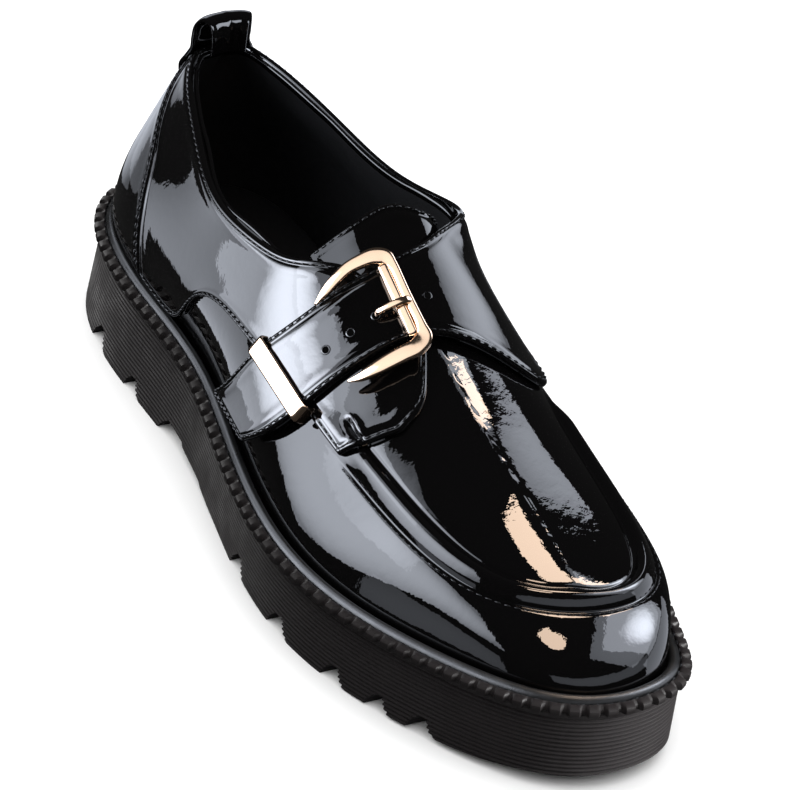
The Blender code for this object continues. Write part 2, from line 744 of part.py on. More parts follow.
def make_strap():
    """Flap and strap across the instep."""
    keyed = [(i, *row) for i, row in enumerate(STRAP_ROWS)]
    where = np.linspace(0, len(STRAP_ROWS) - 1, 2 * len(STRAP_ROWS) - 1)
    rows = np.column_stack([table_curve(keyed, column, where) for column in range(1, 6)])
    columns = 6
    share = np.linspace(0, 1, columns)[:, None]
    station = rows[:, 0] * (1 - share) + rows[:, 2] * share
    around = rows[:, 1] * (1 - share) + rows[:, 3] * share
    lift = np.broadcast_to(rows[:, 4], station.shape)
    outer = over_instep(station.ravel(), around.ravel(), lift.ravel() + STRAP_WALL)
    inner = over_instep(station.ravel(), around.ravel(), lift.ravel())
    outer, inner = (grid.reshape(columns, len(rows), 3)[::-1] for grid in (outer, inner))
    sheet("strap", outer, inner, patent)


def make_keeper():
    """Flat metal band over the strap, with legs down past both of its edges."""
    top = STRAP_LIFT + STRAP_WALL + PIECE_GAP + KEEPER_WALL
    rows = np.array(KEEPER_ROWS)
    spread = np.linspace(0, 2, 5)
    path = np.array([[np.interp(at, range(3), rows[:, column]) for at in spread] for column in range(4)])
    edges = []
    for station, around in ((path[0], path[1]), (path[2], path[3])):
        bar = over_instep(station, around, top)
        start = over_instep(station[:1] - KEEPER_LEGS, around[:1], np.array([STRAP_LIFT]))
        start_top = over_instep(station[:1] - KEEPER_LEGS, around[:1], top)
        end_top = over_instep(station[-1:] + KEEPER_LEGS, around[-1:], top)
        end = over_instep(station[-1:] + KEEPER_LEGS, around[-1:], np.array([STRAP_LIFT]))
        edges.append(np.vstack([start, start_top, bar, end_top, end]))
    shell("keeper", np.array(edges[::-1]), KEEPER_WALL, gold)


def tube(name, points, radii, finish, resolution=2):
    """Round bar along points, made a mesh with joined caps."""
    curve = bpy.data.curves.new(name, "CURVE")
    curve.dimensions = "3D"
    curve.bevel_depth = MM
    curve.bevel_resolution = resolution
    curve.use_fill_caps = True
    spline = curve.splines.new("POLY")
    spline.points.add(len(points) - 1)
    for point, place, radius in zip(spline.points, points, radii):
        point.co = (*(place * MM), 1.0)
        point.radius = radius
    guide = bpy.data.objects.new(name + "_path", curve)
    parts.objects.link(guide)
    graph = bpy.context.evaluated_depsgraph_get()
    mesh = bpy.data.meshes.new_from_object(guide.evaluated_get(graph))
    bpy.data.objects.remove(guide)
    work = bmesh.new()
    work.from_mesh(mesh)
    bmesh.ops.remove_doubles(work, verts=work.verts, dist=0.000005)
    bmesh.ops.recalc_face_normals(work, faces=work.faces)
    work.to_mesh(mesh)
    work.free()
    mesh.name = name
    mesh.materials.clear()
    mesh.materials.append(finish)
    mesh.shade_smooth()
    parts.objects.link(bpy.data.objects.new(name, mesh))


def make_buckle():
    """Frame with two tapering arms, its roller and its prong."""
    keyed = [(i, *row) for i, row in enumerate(BUCKLE_ROWS)]
    where = np.linspace(0, len(BUCKLE_ROWS) - 1, 23)
    station, around, radius = (table_curve(keyed, column, where) for column in (1, 2, 3))
    tube("buckle_frame", over_instep(station, around, BUCKLE_LIFT), radius, gold)
    ends = np.array(ROLLER_ENDS)
    points = over_instep(ends[:, 0], ends[:, 1], BUCKLE_LIFT - ROLLER_DROP)
    tube("buckle_roller", points, [ROLLER_RADIUS] * 2, gold, resolution=3)
    rows = np.array(PRONG_ROWS)
    points = over_instep(rows[:, 0], rows[:, 1], rows[:, 2])
    tube("buckle_prong", points, [PRONG_RADIUS] * len(points), gold)


for old in list(bpy.data.objects):
    bpy.data.objects.remove(old, do_unlink=True)
parts = bpy.data.collections.new(COLLECTION)
cutters = bpy.data.collections.new("cutters")
for group in (parts, cutters):
    bpy.context.scene.collection.children.link(group)

patent = material("black_patent_leather", (0.012, 0.011, 0.012), 0.12)
rubber = material("dark_rubber", (0.035, 0.032, 0.032), 0.62)
lining = material("black_lining", (0.01, 0.01, 0.011), 0.85)
gold = material("pale_gold", (0.92, 0.70, 0.52), 0.18, 1.0)

make_outsole()
make_welt()
make_insole()
make_upper()
make_tongue()
make_quarters()
make_counter()
make_pull_loop()
make_strap()
make_keeper()
make_buckle()
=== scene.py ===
# %% [markdown]
# # A patent leather buckle shoe
# This lesson dresses the solids of one right shoe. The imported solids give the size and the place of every
# piece. Here each piece gets a fine mesh, its seams and stitches, and a finish. Lengths in the tables are
# millimetres, because a shoemaker thinks in them, and they become metres when a mesh is made.

# %% Load the frame
import math

import bmesh
import bpy
import numpy as np
from mathutils import Matrix, Vector


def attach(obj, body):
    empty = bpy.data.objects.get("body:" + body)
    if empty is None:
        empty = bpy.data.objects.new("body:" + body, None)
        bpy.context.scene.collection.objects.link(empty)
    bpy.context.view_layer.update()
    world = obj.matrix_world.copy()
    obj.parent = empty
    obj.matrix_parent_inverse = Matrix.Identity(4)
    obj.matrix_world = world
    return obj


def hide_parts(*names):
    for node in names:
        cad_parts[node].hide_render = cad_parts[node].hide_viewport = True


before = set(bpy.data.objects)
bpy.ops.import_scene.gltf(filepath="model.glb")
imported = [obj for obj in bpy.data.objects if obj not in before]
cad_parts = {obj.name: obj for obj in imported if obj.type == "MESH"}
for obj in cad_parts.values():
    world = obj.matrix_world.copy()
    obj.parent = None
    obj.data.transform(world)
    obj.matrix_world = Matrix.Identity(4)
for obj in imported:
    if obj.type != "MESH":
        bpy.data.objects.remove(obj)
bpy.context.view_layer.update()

MM = 0.001
print("solids:", sorted(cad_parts))

# %% [markdown]
# ## The last
# A shoe takes its form from a last. Three closed lines describe this one: the edge of the welt, the seam of
# the apron (which runs on as the middle of the quarters), and the collar with the crown of the instep. A
# table gives each line at a few stations, counted from the back of the heel along the outline. Reading
# tables with smooth curves keeps the form easy to change.

# %% Outline and welt
LENGTH = 278.0
HALF_LENGTH = LENGTH / 2
WELT_WIDTH = 7.5

# From the heel's back, outer side, inner side.
OUTLINE_ROWS = [
    (0, 2.0, 2.0),
    (8, -21.5, 24.5),
    (30, -34.0, 36.3),
    (60, -37.6, 37.6),
    (100, -38.1, 34.3),
    (139, -45.5, 36.4),
    (179, -50.2, 46.8),
    (211, -45.4, 50.2),
    (245, -31.0, 42.4),
    (270, -13.0, 31.0),
    (278, 8.8, 8.8),
]
# From the heel's back, height of the welt's underside.
WELT_ROWS = [(0, 28.0), (70, 27.4), (130, 24.6), (195, 22.4), (240, 23.8), (278, 26.6)]
print("outline rows:", len(OUTLINE_ROWS), "welt rows:", len(WELT_ROWS))

# %% [markdown]
# Over the welt, two more lines describe the upper. The edge line is the apron's seam in front and the
# middle of the quarters behind. The collar is the mouth of the shoe, and from the tongue to the toe the
# crown takes its place. A sculpted mesh could give the same form, but a table can be measured and mended
# one station at a time.

# %% Edge line, collar and crown
# Station; along, across, height outside, then inside; tilt at the welt, at the edge line, at the collar.
EDGE_ROWS = [
    (0, 13.0, 2.0, 57.0, 13.0, 2.0, 57.0, 4, 24, 36),
    (8, 18.0, -13.5, 57.0, 18.0, 17.0, 57.0, 5, 23, 34),
    (30, 35.5, -25.0, 56.0, 35.0, 27.0, 56.0, 6, 18, 22),
    (60, 62.0, -30.5, 55.0, 62.0, 31.0, 55.5, 7, 12, 14),
    (100, 100.0, -33.6, 55.0, 100.0, 31.0, 56.5, 8, 10, 4),
    (120, 120.0, -34.6, 55.5, 120.0, 32.5, 57.5, 8, 13, 10),
    (139, 139.0, -34.8, 55.0, 138.0, 35.0, 57.0, 8, 20, 30),
    (155, 154.5, -33.6, 53.5, 153.0, 37.0, 55.0, 8, 28, 40),
    (179, 176.5, -31.0, 50.0, 175.5, 38.5, 51.0, 7, 38, 50),
    (211, 204.0, -28.0, 46.6, 205.0, 39.5, 46.0, 7, 46, 50),
    (245, 229.5, -20.8, 43.6, 234.0, 37.4, 42.8, 8, 56, 50),
    (270, 246.0, -6.5, 42.2, 250.0, 27.0, 42.0, 9, 66, 50),
    (278, 252.5, 10.5, 42.0, 252.5, 10.5, 42.0, 9, 68, 50),
]
# Station; along, across, height of the collar outside, then inside.
COLLAR_ROWS = [
    (0, 27.0, 2.0, 87.0, 27.0, 2.0, 87.0),
    (8, 30.0, -6.5, 87.0, 30.0, 9.0, 87.0),
    (30, 43.0, -14.0, 86.0, 44.0, 13.5, 86.0),
    (60, 66.0, -21.5, 83.0, 64.0, 18.0, 84.0),
    (100, 103.0, -28.5, 80.5, 101.0, 24.5, 82.0),
    (120, 128.0, -24.0, 84.5, 123.0, 29.0, 86.0),
    (139, 133.5, -13.0, 92.5, 133.0, 17.5, 92.5),
    (155, 131.0, 2.0, 97.0, 131.0, 2.0, 97.0),
]
CROWN_START = 155.0
# Along, across, height of the crown of the instep and apron.
SPINE_ROWS = [
    (131, 2.0, 97.0),
    (145, 1.6, 89.0),
    (160, 1.8, 79.5),
    (175, 2.5, 71.5),
    (196, 4.5, 62.0),
    (223, 7.0, 52.5),
    (238, 8.0, 47.6),
]
# Station, along: where each station's section meets the crown.
CROWN_ROWS = [(155, 131), (179, 158), (211, 196), (245, 224), (270, 236), (278, 238)]
print("edge rows:", len(EDGE_ROWS), "collar rows:", len(COLLAR_ROWS), "crown rows:", len(SPINE_ROWS))

# %% [markdown]
# ## Smooth curves through the tables
# Two kinds of curve are enough: an open one through the rows of a table, and a closed one that goes round
# the shoe. A turn of 0 is the heel, 1 the toe and 2 the heel again, over the outer side first.

# %% Open curves
def turn_of(station):
    return np.arccos(np.clip(1 - 2 * np.asarray(station, float) / LENGTH, -1, 1)) / math.pi


def station_of(turn):
    turn = np.mod(turn, 2.0)
    return LENGTH * (1 - np.cos(math.pi * turn)) / 2


def ease(start, end, value):
    share = np.clip((value - start) / (end - start), 0, 1)
    return share * share * (3 - 2 * share)


def hermite(first, first_slope, last, last_slope, share):
    rest = 1 - share
    return (
        first * (1 + 2 * share) * rest**2
        + first_slope * share * rest**2
        + last * share**2 * (3 - 2 * share)
        - last_slope * share**2 * rest
    )


def table_curve(rows, column, value, even=True):
    knots = np.array([row[0] for row in rows], float)
    heights = np.array([row[column] for row in rows], float)
    slopes = np.gradient(heights, knots)
    if even:
        steps = np.diff(heights) / np.diff(knots)
        product = steps[:-1] * steps[1:]
        total = np.where(product > 0, steps[:-1] + steps[1:], 1)
        slopes[1:-1] = np.where(product > 0, 2 * product / total, 0)
    value = np.clip(value, knots[0], knots[-1])
    index = np.clip(np.searchsorted(knots, value, side="right") - 1, 0, len(knots) - 2)
    gap = knots[index + 1] - knots[index]
    share = (value - knots[index]) / gap
    return hermite(heights[index], slopes[index] * gap, heights[index + 1], slopes[index + 1] * gap, share)


middle_height = table_curve(WELT_ROWS, 1, HALF_LENGTH)
print("welt at the middle of the shoe:", round(float(middle_height), 1), "mm up")

# %% [markdown]
# The closed curve has to be smooth where the outer and the inner side meet, at the heel and at the toe. A
# closed cubic spline does that: one set of equations finds the bend at every row, with no first or last
# one. The outline of the sole is such a ring, and it can be drawn again further in for the welt and the
# insole.

# %% Closed curves
def ring(rows, outer_columns, inner_columns, turn):
    table = np.array(rows, float)
    outer_turns = turn_of(table[:, 0])
    knots = np.append(outer_turns, 2 - outer_turns[-2:0:-1])
    values = np.vstack([table[:, outer_columns], table[-2:0:-1][:, inner_columns]])
    count = len(knots)
    gaps = np.diff(np.append(knots, 2.0))
    rises = (np.roll(values, -1, 0) - values) / gaps[:, None]
    matrix = np.zeros((count, count))
    for i in range(count):
        matrix[i, i] = 2 * (gaps[i - 1] + gaps[i])
        matrix[i, (i + 1) % count] = gaps[i]
        matrix[i, i - 1] = gaps[i - 1]
    bends = np.linalg.solve(matrix, 6 * (rises - np.roll(rises, 1, 0)))
    turn = np.mod(turn, 2.0)
    here = np.searchsorted(knots, turn, side="right") - 1
    there = (here + 1) % count
    gap = gaps[here][:, None]
    past = (turn - knots[here])[:, None]
    left = gap - past
    bent = (bends[here] * left**3 + bends[there] * past**3) / (6 * gap)
    start = (values[here] / gap - bends[here] * gap / 6) * left
    end = (values[there] / gap - bends[there] * gap / 6) * past
    return bent + start + end


def outline(turn, inset=0.0):
    turn = np.asarray(turn, float)

    def edge(at):
        return np.column_stack([ring(OUTLINE_ROWS, [1], [2], at), HALF_LENGTH - station_of(at)])

    tangent = edge(turn + 1e-4) - edge(turn - 1e-4)
    tangent /= np.linalg.norm(tangent, axis=1)[:, None]
    inward = np.column_stack([-tangent[:, 1], tangent[:, 0]])
    return edge(turn) + np.reshape(inset, (-1, 1)) * inward, inward


def welt_height(y):
    return table_curve(WELT_ROWS, 1, HALF_LENGTH - y)


whole_turn = np.linspace(0, 2, 400)
print("outline width:", round(float(np.ptp(outline(whole_turn)[0][:, 0])), 1), "mm")

# %% [markdown]
# ## The face of the upper
# A section at one station goes up from the welt to the edge line, then on to the collar or the crown. Two
# cubic arcs draw it, and their end tilts come from the table. Every leather piece then lies at its own lift
# over this one face, so overlays follow the last without being fitted by eye.

# %% Lines of one section
def edge_frame(turn):
    station = station_of(turn)
    folded = turn_of(station)
    inner = np.mod(turn, 2.0) > 1
    foot, inward = outline(turn, WELT_WIDTH)
    low = np.column_stack([foot, welt_height(foot[:, 1])])
    table = ring(EDGE_ROWS, [2, 1, 3, 7, 8, 9], [5, 4, 6, 7, 8, 9], turn)
    edge = np.column_stack([table[:, 0], HALF_LENGTH - table[:, 1], table[:, 2]])
    turn_rows = [(turn_of(row[0]), *row[1:]) for row in COLLAR_ROWS]
    outer_top = [table_curve(turn_rows, column, folded, False) for column in (2, 1, 3)]
    inner_top = [table_curve(turn_rows, column, folded, False) for column in (5, 4, 6)]
    crown = np.where(inner[:, None], np.transpose(inner_top), np.transpose(outer_top))
    along = table_curve(CROWN_ROWS, 1, station)
    spine = np.column_stack([table_curve(SPINE_ROWS, 1, along), along, table_curve(SPINE_ROWS, 2, along)])
    crown = np.where((station >= CROWN_START)[:, None], spine, crown)
    inside = np.clip(along, SPINE_ROWS[0][0] + 0.5, SPINE_ROWS[-1][0] - 0.5)
    fall = table_curve(SPINE_ROWS, 2, inside - 0.5) - table_curve(SPINE_ROWS, 2, inside + 0.5)
    crown[:, 1] = HALF_LENGTH - crown[:, 1]
    flat_inward = np.column_stack([inward, np.zeros(len(turn))])
    return station, flat_inward, low, edge, crown, np.radians(table[:, 3:6]), fall


print("collar at the heel:", edge_frame(np.array([0.0]))[4][0].round(1), "mm")

# %% [markdown]
# A point on the face is named by its turn and its girth: 0 at the welt, 1 at the edge line, 2 at the collar
# or the crown. Behind, the section goes on upright to the collar, and in front it lies down into the apron.
# The two forms are blended over the stations of the fades below, so there is no seam between them.

# %% Points on the face
DOME_FADE = (105.0, 140.0)
APRON_FADE = (118.0, 175.0)


def upper_point(turn, girth):
    turn, girth = np.broadcast_arrays(*map(np.atleast_1d, (turn, girth)))
    station, inward, low, edge, crown, tilts, fall = edge_frame(turn)
    up = np.array([0.0, 0.0, 1.0])

    def lean(column, sign, length):
        angle = tilts[:, column][:, None]
        return length * (sign * np.sin(angle) * inward + np.cos(angle) * up)

    wall_length = np.linalg.norm(edge - low, axis=1)[:, None]
    share = np.clip(girth, 0, 1)[:, None]
    wall = hermite(low, lean(0, -1, wall_length), edge, lean(1, 1, wall_length), share)
    reach = crown - edge
    rise = reach[:, 2:]
    flat = reach * (1 - up)
    top_length = np.linalg.norm(reach, axis=1)[:, None]
    end_rise = fall[:, None] * flat[:, 1:2]
    front = ease(*APRON_FADE, station)[:, None]
    dome = ease(*DOME_FADE, station)[:, None]
    start_slope = lean(1, 1, top_length) * (1 - front) + (flat + (2 * rise - end_rise) * up) * front
    end_slope = lean(2, 1, top_length) * (1 - dome) + (flat + end_rise * up) * dome
    top = hermite(edge, start_slope, crown, end_slope, np.clip(girth - 1, 0, 1)[:, None])
    return np.where((girth <= 1)[:, None], wall, top)


print("crown at the tongue:", upper_point(turn_of(CROWN_START), 2.0)[0].round(1), "mm")

# %% [markdown]
# The apron's seam stands up as a ridge. It is added along the face's own direction, so it leans with the
# leather. The same direction carries every overlay: a piece says how high it lies, and the face does the
# rest.

# %% Ridge and lift
RIDGE_WIDTH = 7.0
RIDGE_HEIGHT = 2.0
RIDGE_LEAN = 1.5
RIDGE_ROUND = 0.8
RIDGE_FADE = (179.0, 193.0)


def top_reach(turn):
    _, _, _, edge, crown, _, _ = edge_frame(np.asarray(turn, float))
    return np.linalg.norm(crown - edge, axis=1)


def ridge(turn, girth):
    across = (girth - 1) * top_reach(turn) / RIDGE_WIDTH
    bump = np.sin(math.pi * np.clip(across, 0, 1) ** RIDGE_LEAN) ** RIDGE_ROUND
    return RIDGE_HEIGHT * bump * ease(*RIDGE_FADE, station_of(turn))


def face_direction(turn, girth):
    step = 0.004
    around = upper_point(turn + step, girth) - upper_point(turn - step, girth)
    upward = upper_point(turn, np.clip(girth + step, 0, 2)) - upper_point(turn, np.clip(girth - step, 0, 2))
    direction = np.cross(around, upward)
    return direction / np.maximum(np.linalg.norm(direction, axis=1), 1e-9)[:, None]


def lifted(turn, girth, lift):
    turn, girth, lift = np.broadcast_arrays(*map(np.atleast_1d, (turn, girth, lift)))
    height = (ridge(turn, girth) + lift)[:, None]
    return upper_point(turn, girth) + height * face_direction(turn, girth)


def over_instep(station, around, lift):
    station, around, lift = np.broadcast_arrays(*map(np.atleast_1d, (station, around, lift)))
    turn = np.where(around > 0, 2 - turn_of(station), turn_of(station))
    return lifted(turn, 2 - np.abs(around), lift)


print("ridge at the toe:", round(float(ridge(np.array([1.0]), np.array([1.12]))[0]), 2), "mm high")

# %% [markdown]
# ## Finishes
# Every finish here is one principled shader with noise on it. Image textures could hold more detail, but
# they need unwrapped meshes. Noise in the piece's own space needs none, and it keeps its size in
# millimetres.

# %% A finish with noise
def new_finish(name, color, roughness, **settings):
    finish = bpy.data.materials.new(name)
    finish.use_nodes = True
    shader = finish.node_tree.nodes["Principled BSDF"]
    shader.inputs["Base Color"].default_value = (*color, 1.0)
    shader.inputs["Roughness"].default_value = roughness
    for socket, value in settings.items():
        shader.inputs[socket.replace("_", " ")].default_value = value
    return finish


def add_noise(finish, size_mm, detail=2.0, stretch=(1, 1, 1)):
    nodes, links = finish.node_tree.nodes, finish.node_tree.links
    place = nodes.new("ShaderNodeTexCoord")
    turn = nodes.new("ShaderNodeMapping")
    turn.inputs["Scale"].default_value = stretch
    noise = nodes.new("ShaderNodeTexNoise")
    noise.inputs["Scale"].default_value = 1 / (size_mm * MM)
    noise.inputs["Detail"].default_value = detail
    links.new(place.outputs["Object"], turn.inputs["Vector"])
    links.new(turn.outputs["Vector"], noise.inputs["Vector"])
    return noise


print("noise is sized in units of", MM, "m")

# %% [markdown]
# Noise does two jobs. As bump it tilts the surface a little, and each new bump is chained after the one
# before it. As gloss it moves the roughness between two values, so that no surface shines evenly all over.

# %% Bump and gloss
def add_bump(finish, noise, depth_mm):
    nodes, links = finish.node_tree.nodes, finish.node_tree.links
    shader = nodes["Principled BSDF"]
    bump = nodes.new("ShaderNodeBump")
    bump.inputs["Strength"].default_value = 1.0
    bump.inputs["Distance"].default_value = depth_mm * MM
    links.new(noise.outputs["Fac"], bump.inputs["Height"])
    for socket in ("Normal", "Coat Normal"):
        if shader.inputs[socket].is_linked:
            before = shader.inputs[socket].links[0].from_socket
            links.new(before, bump.inputs["Normal"])
        links.new(bump.outputs["Normal"], shader.inputs[socket])


def vary_roughness(finish, noise, low, high):
    nodes, links = finish.node_tree.nodes, finish.node_tree.links
    ramp = nodes.new("ShaderNodeMapRange")
    ramp.inputs["From Min"].default_value = 0.35
    ramp.inputs["From Max"].default_value = 0.65
    ramp.inputs["To Min"].default_value = low
    ramp.inputs["To Max"].default_value = high
    links.new(noise.outputs["Fac"], ramp.inputs["Value"])
    links.new(ramp.outputs["Result"], nodes["Principled BSDF"].inputs["Roughness"])


print("bump and gloss are ready")

# %% [markdown]
# Patent leather is black leather under a thick clear film. A dark base under a smooth coat gives that, and
# two scales of bump give the film's slow waves and the fine wrinkles that fray the edge of a reflection. A
# plain glossy black would look like plastic, because its reflections would have ruled edges.

# %% Patent leather
PATENT_BLACK = (0.0013, 0.0012, 0.0013)
patent = new_finish(
    "patent_leather", PATENT_BLACK, 0.5, Specular_IOR_Level=0.0, Coat_Weight=1.0, Coat_Roughness=0.01
)
add_bump(patent, add_noise(patent, 20.0, 1.0), 0.10)
add_bump(patent, add_noise(patent, 3.2, 3.0), 0.042)
vary_roughness(patent, add_noise(patent, 6.0), 0.4, 0.6)

print("patent leather:", len(patent.node_tree.nodes), "nodes")

# %% [markdown]
# The sole is moulded rubber: matte, a little warm, with a fine grain. The cogged band is the same rubber,
# but darker, and the bead beside the upper is smoother and catches a thin line of light. Three finishes
# with the same recipe show that better than one that changes along its way.

# %% Rubber
sole_rubber = new_finish("sole_rubber", (0.0125, 0.0108, 0.0113), 0.6, Specular_IOR_Level=0.25)
add_bump(sole_rubber, add_noise(sole_rubber, 0.8, 4.0), 0.05)
vary_roughness(sole_rubber, add_noise(sole_rubber, 9.0, 3.0), 0.5, 0.7)

band_rubber = new_finish("band_rubber", (0.0075, 0.0062, 0.0064), 0.55, Specular_IOR_Level=0.3)
add_bump(band_rubber, add_noise(band_rubber, 0.8, 4.0), 0.05)
vary_roughness(band_rubber, add_noise(band_rubber, 9.0, 3.0), 0.45, 0.65)

welt_rubber = new_finish("welt_rubber", (0.005, 0.005, 0.005), 0.33, Specular_IOR_Level=0.5)
add_bump(welt_rubber, add_noise(welt_rubber, 0.7, 3.0), 0.03)
vary_roughness(welt_rubber, add_noise(welt_rubber, 7.0, 2.0), 0.27, 0.4)

print("rubber finishes:", sole_rubber.name, band_rubber.name, welt_rubber.name)

# %% [markdown]
# The lining is dull cloth. The buckle is polished, pale gold metal, whose colour comes from the metal
# itself, so it is set as the base colour of a metallic shader. The thread is waxed. The inside of a punched
# hole gets painted shade: a flat matte black that stands in for the shadow in it.

# %% Lining, metal, thread and painted hole shade
lining = new_finish("black_lining", (0.0035, 0.0035, 0.004), 0.9, Specular_IOR_Level=0.15)
add_bump(lining, add_noise(lining, 0.6, 3.0), 0.08)
vary_roughness(lining, add_noise(lining, 12.0), 0.8, 0.95)

gold = new_finish("pale_gold", (0.93, 0.68, 0.50), 0.12, Metallic=1.0)
add_bump(gold, add_noise(gold, 5.0, 2.0), 0.01)
vary_roughness(gold, add_noise(gold, 3.0, 3.0), 0.08, 0.15)

thread = new_finish("waxed_thread", (0.004, 0.004, 0.0045), 0.4, Specular_IOR_Level=0.3)
add_bump(thread, add_noise(thread, 0.3, 2.0), 0.05)
vary_roughness(thread, add_noise(thread, 1.5), 0.3, 0.5)

# Painted shade: a flat matte black for the punched holes, standing in for the shadow inside them.
hole_shade_paint = new_finish("painted_hole_shade", (0.002, 0.002, 0.002), 1.0, Specular_IOR_Level=0.0)
add_bump(hole_shade_paint, add_noise(hole_shade_paint, 0.5, 2.0), 0.05)
vary_roughness(hole_shade_paint, add_noise(hole_shade_paint, 1.0), 0.9, 1.0)
print("other finishes:", lining.name, gold.name, thread.name, hole_shade_paint.name)

# %% [markdown]
# ## From points to pieces
# A piece is a mesh with a finish that rides on the shoe's one body, and the solids it stands in for are
# hidden. Modifiers could thicken and smooth a rough mesh, but here the points are worked out first and handed
# over once, so every edge stays where the tables put it.

# %% Make a piece
WELD_GAP = 0.00002


def make_piece(name, points, faces, finish, slot, *nodes, weld=False):
    mesh = bpy.data.meshes.new(name)
    mesh.from_pydata((np.asarray(points) * MM).tolist(), [], faces)
    if weld:
        work = bmesh.new()
        work.from_mesh(mesh)
        bmesh.ops.remove_doubles(work, verts=work.verts, dist=WELD_GAP)
        work.to_mesh(mesh)
        work.free()
    mesh.shade_smooth()
    mesh.materials.append(finish)
    piece = bpy.data.objects.new(name, mesh)
    bpy.context.scene.collection.objects.link(piece)
    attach(piece, "root")
    if nodes:
        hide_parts(*nodes)
    print(f"{name}: {len(mesh.polygons)} faces")
    return piece


print("a piece rides on root and welds points nearer than", WELD_GAP / MM, "mm")

# %% [markdown]
# Most pieces here are grids of points. A leather piece has an outer and an inner grid with a rim between
# them. Four corners of the grid make each face, so the mesh stays in even quads that shade smoothly.

# %% Grids and sheets
def grid_faces(rows, columns, closed=False, start=0):
    index = start + np.arange(rows * columns).reshape(rows, columns)
    after = np.roll(index, -1, axis=1)
    quads = np.stack([index[:-1], after[:-1], after[1:], index[1:]], axis=-1)
    if not closed:
        quads = quads[:, :-1]
    return quads.reshape(-1, 4).tolist()


def sheet_mesh(outer, inner):
    rows, columns, _ = outer.shape
    count = rows * columns
    faces = grid_faces(rows, columns)
    faces += [[count + i for i in reversed(face)] for face in grid_faces(rows, columns)]
    index = np.arange(count).reshape(rows, columns)
    rim = np.concatenate([index[0, :-1], index[:-1, -1], index[-1, :0:-1], index[:0:-1, 0]])
    after = np.roll(rim, -1)
    faces += [[int(b), int(a), int(a) + count, int(b) + count] for a, b in zip(rim, after)]
    return np.concatenate([outer.reshape(-1, 3), inner.reshape(-1, 3)]), faces


print("faces of 3 by 4 points:", len(grid_faces(3, 4)), "open,", len(grid_faces(3, 4, True)), "closed")

# %% [markdown]
# Real leather pulled over a last has no small kinks, so a grid is evened out the way a thin batten would
# be: it stays close to its points but doesn't like to bend. A smoothing modifier would shrink the piece,
# and the batten doesn't, because both its ends are held.

# %% Even out
END_HOLD = 1e6


def even_out(points, reach):
    """Points along the first axis, bent as little as a batten that holds its two ends."""
    gaps = np.linalg.norm(np.diff(points, axis=0), axis=-1).reshape(len(points) - 1, -1).mean(axis=1)
    bend = np.zeros((len(gaps) - 1, len(points)))
    for i, (before, after) in enumerate(zip(gaps[:-1], gaps[1:])):
        span = before + after
        bend[i, i : i + 3] = np.array([1 / before, -span / (before * after), 1 / after]) * math.sqrt(2 / span)
    weight = (np.append(gaps, 0) + np.append(0, gaps)) / 2
    weight[[0, -1]] = END_HOLD
    matrix = np.diag(weight) + reach**4 * bend.T @ bend
    flat = points.reshape(len(points), -1)
    return np.linalg.solve(matrix, weight[:, None] * flat).reshape(points.shape)


def even_along(grid, reach):
    return np.swapaxes(even_out(np.swapaxes(grid, 0, 1), reach), 0, 1)


def outward_of(grid):
    direction = np.cross(np.gradient(grid, axis=1), np.gradient(grid, axis=0))
    return direction / np.linalg.norm(direction, axis=2)[..., None]


zigzag = np.column_stack([np.arange(9.0), np.arange(9) % 2, np.zeros(9)])
evened = even_out(zigzag, 2.0)[2:-2, 1]
print("a zigzag 1 mm high is evened out to", round(float(np.ptp(evened)), 2), "mm")

# %% [markdown]
# Near its edges a leather piece dips, so that the edge looks folded over and not cut from a plate. A seam
# presses a groove beside the edge, and the leather puffs up a little behind it. Grid lines are put close
# together near the edges, where this relief is, and further apart in the middle.

# %% Folded edges
def spread(length, step):
    near = np.array([0, 0.15, 0.4, 0.75, 1.2, 1.7, 2.2, 2.8, 3.5]) / length
    middle = np.linspace(near[-1], 1 - near[-1], max(int(length / step), 3))[1:-1]
    return np.concatenate([near, middle, 1 - near[::-1]])


def edge_distance(grid, low=True, high=True, rear=True, front=True):
    up = np.linalg.norm(np.diff(grid, axis=0), axis=2)
    up = np.vstack([np.zeros((1, grid.shape[1])), np.cumsum(up, axis=0)])
    on = np.linalg.norm(np.diff(grid, axis=1), axis=2)
    on = np.hstack([np.zeros((grid.shape[0], 1)), np.cumsum(on, axis=1)])
    far = np.full(up.shape, 1e3)
    sides = [(low, up), (high, up[-1:] - up), (rear, on), (front, on[:, -1:] - on)]
    for wanted, distance in sides:
        if wanted:
            far = np.minimum(far, distance)
    return far


FOLD = 1.0
RIM_SHARE = 0.3
SEAM_INSET = 2.0
# Height, distance from the edge, spread.
SEAM_GROOVE = (0.3, SEAM_INSET, 0.5)
SEAM_PUFF = (0.12, SEAM_INSET + 2.0, 1.4)


def hump(distance, height, place, width):
    return height * np.exp(-(((distance - place) / width) ** 2))


def folded_lift(distance, low, wall):
    roll = np.sqrt(1 - (1 - np.clip(distance / FOLD, 0, 1)) ** 2)
    face = low + wall * (RIM_SHARE + (1 - RIM_SHARE) * roll)
    return face - hump(distance, *SEAM_GROOVE) + hump(distance, *SEAM_PUFF)


print("lift at the edge, the seam and inside:", folded_lift(np.array([0, 2.0, 9.0]), 0.8, 1.4).round(2), "mm")

# %% [markdown]
# ## Stitches
# Every seam shows a row of short stitches. Each one is a small capsule laid along the seam, half sunk into
# the leather. A bump could only draw them, and they would vanish at the edge of the shoe, so they are
# meshes. They are collected in a list while the pieces are made and become one piece at the end.

# %% Stitch rows
STITCH_LENGTH = 2.0
STITCH_GAP = 0.7
STITCH_RADIUS = 0.32
STITCH_SIDES = 6
# Share of the length, share of the radius.
STITCH_PROFILE = [(0.0, 0.25), (0.12, 0.8), (0.5, 1.0), (0.88, 0.8), (1.0, 0.25)]
STITCH_BOW = 0.9
STITCH_SINK = 0.4
stitch_points = []
stitch_faces = []


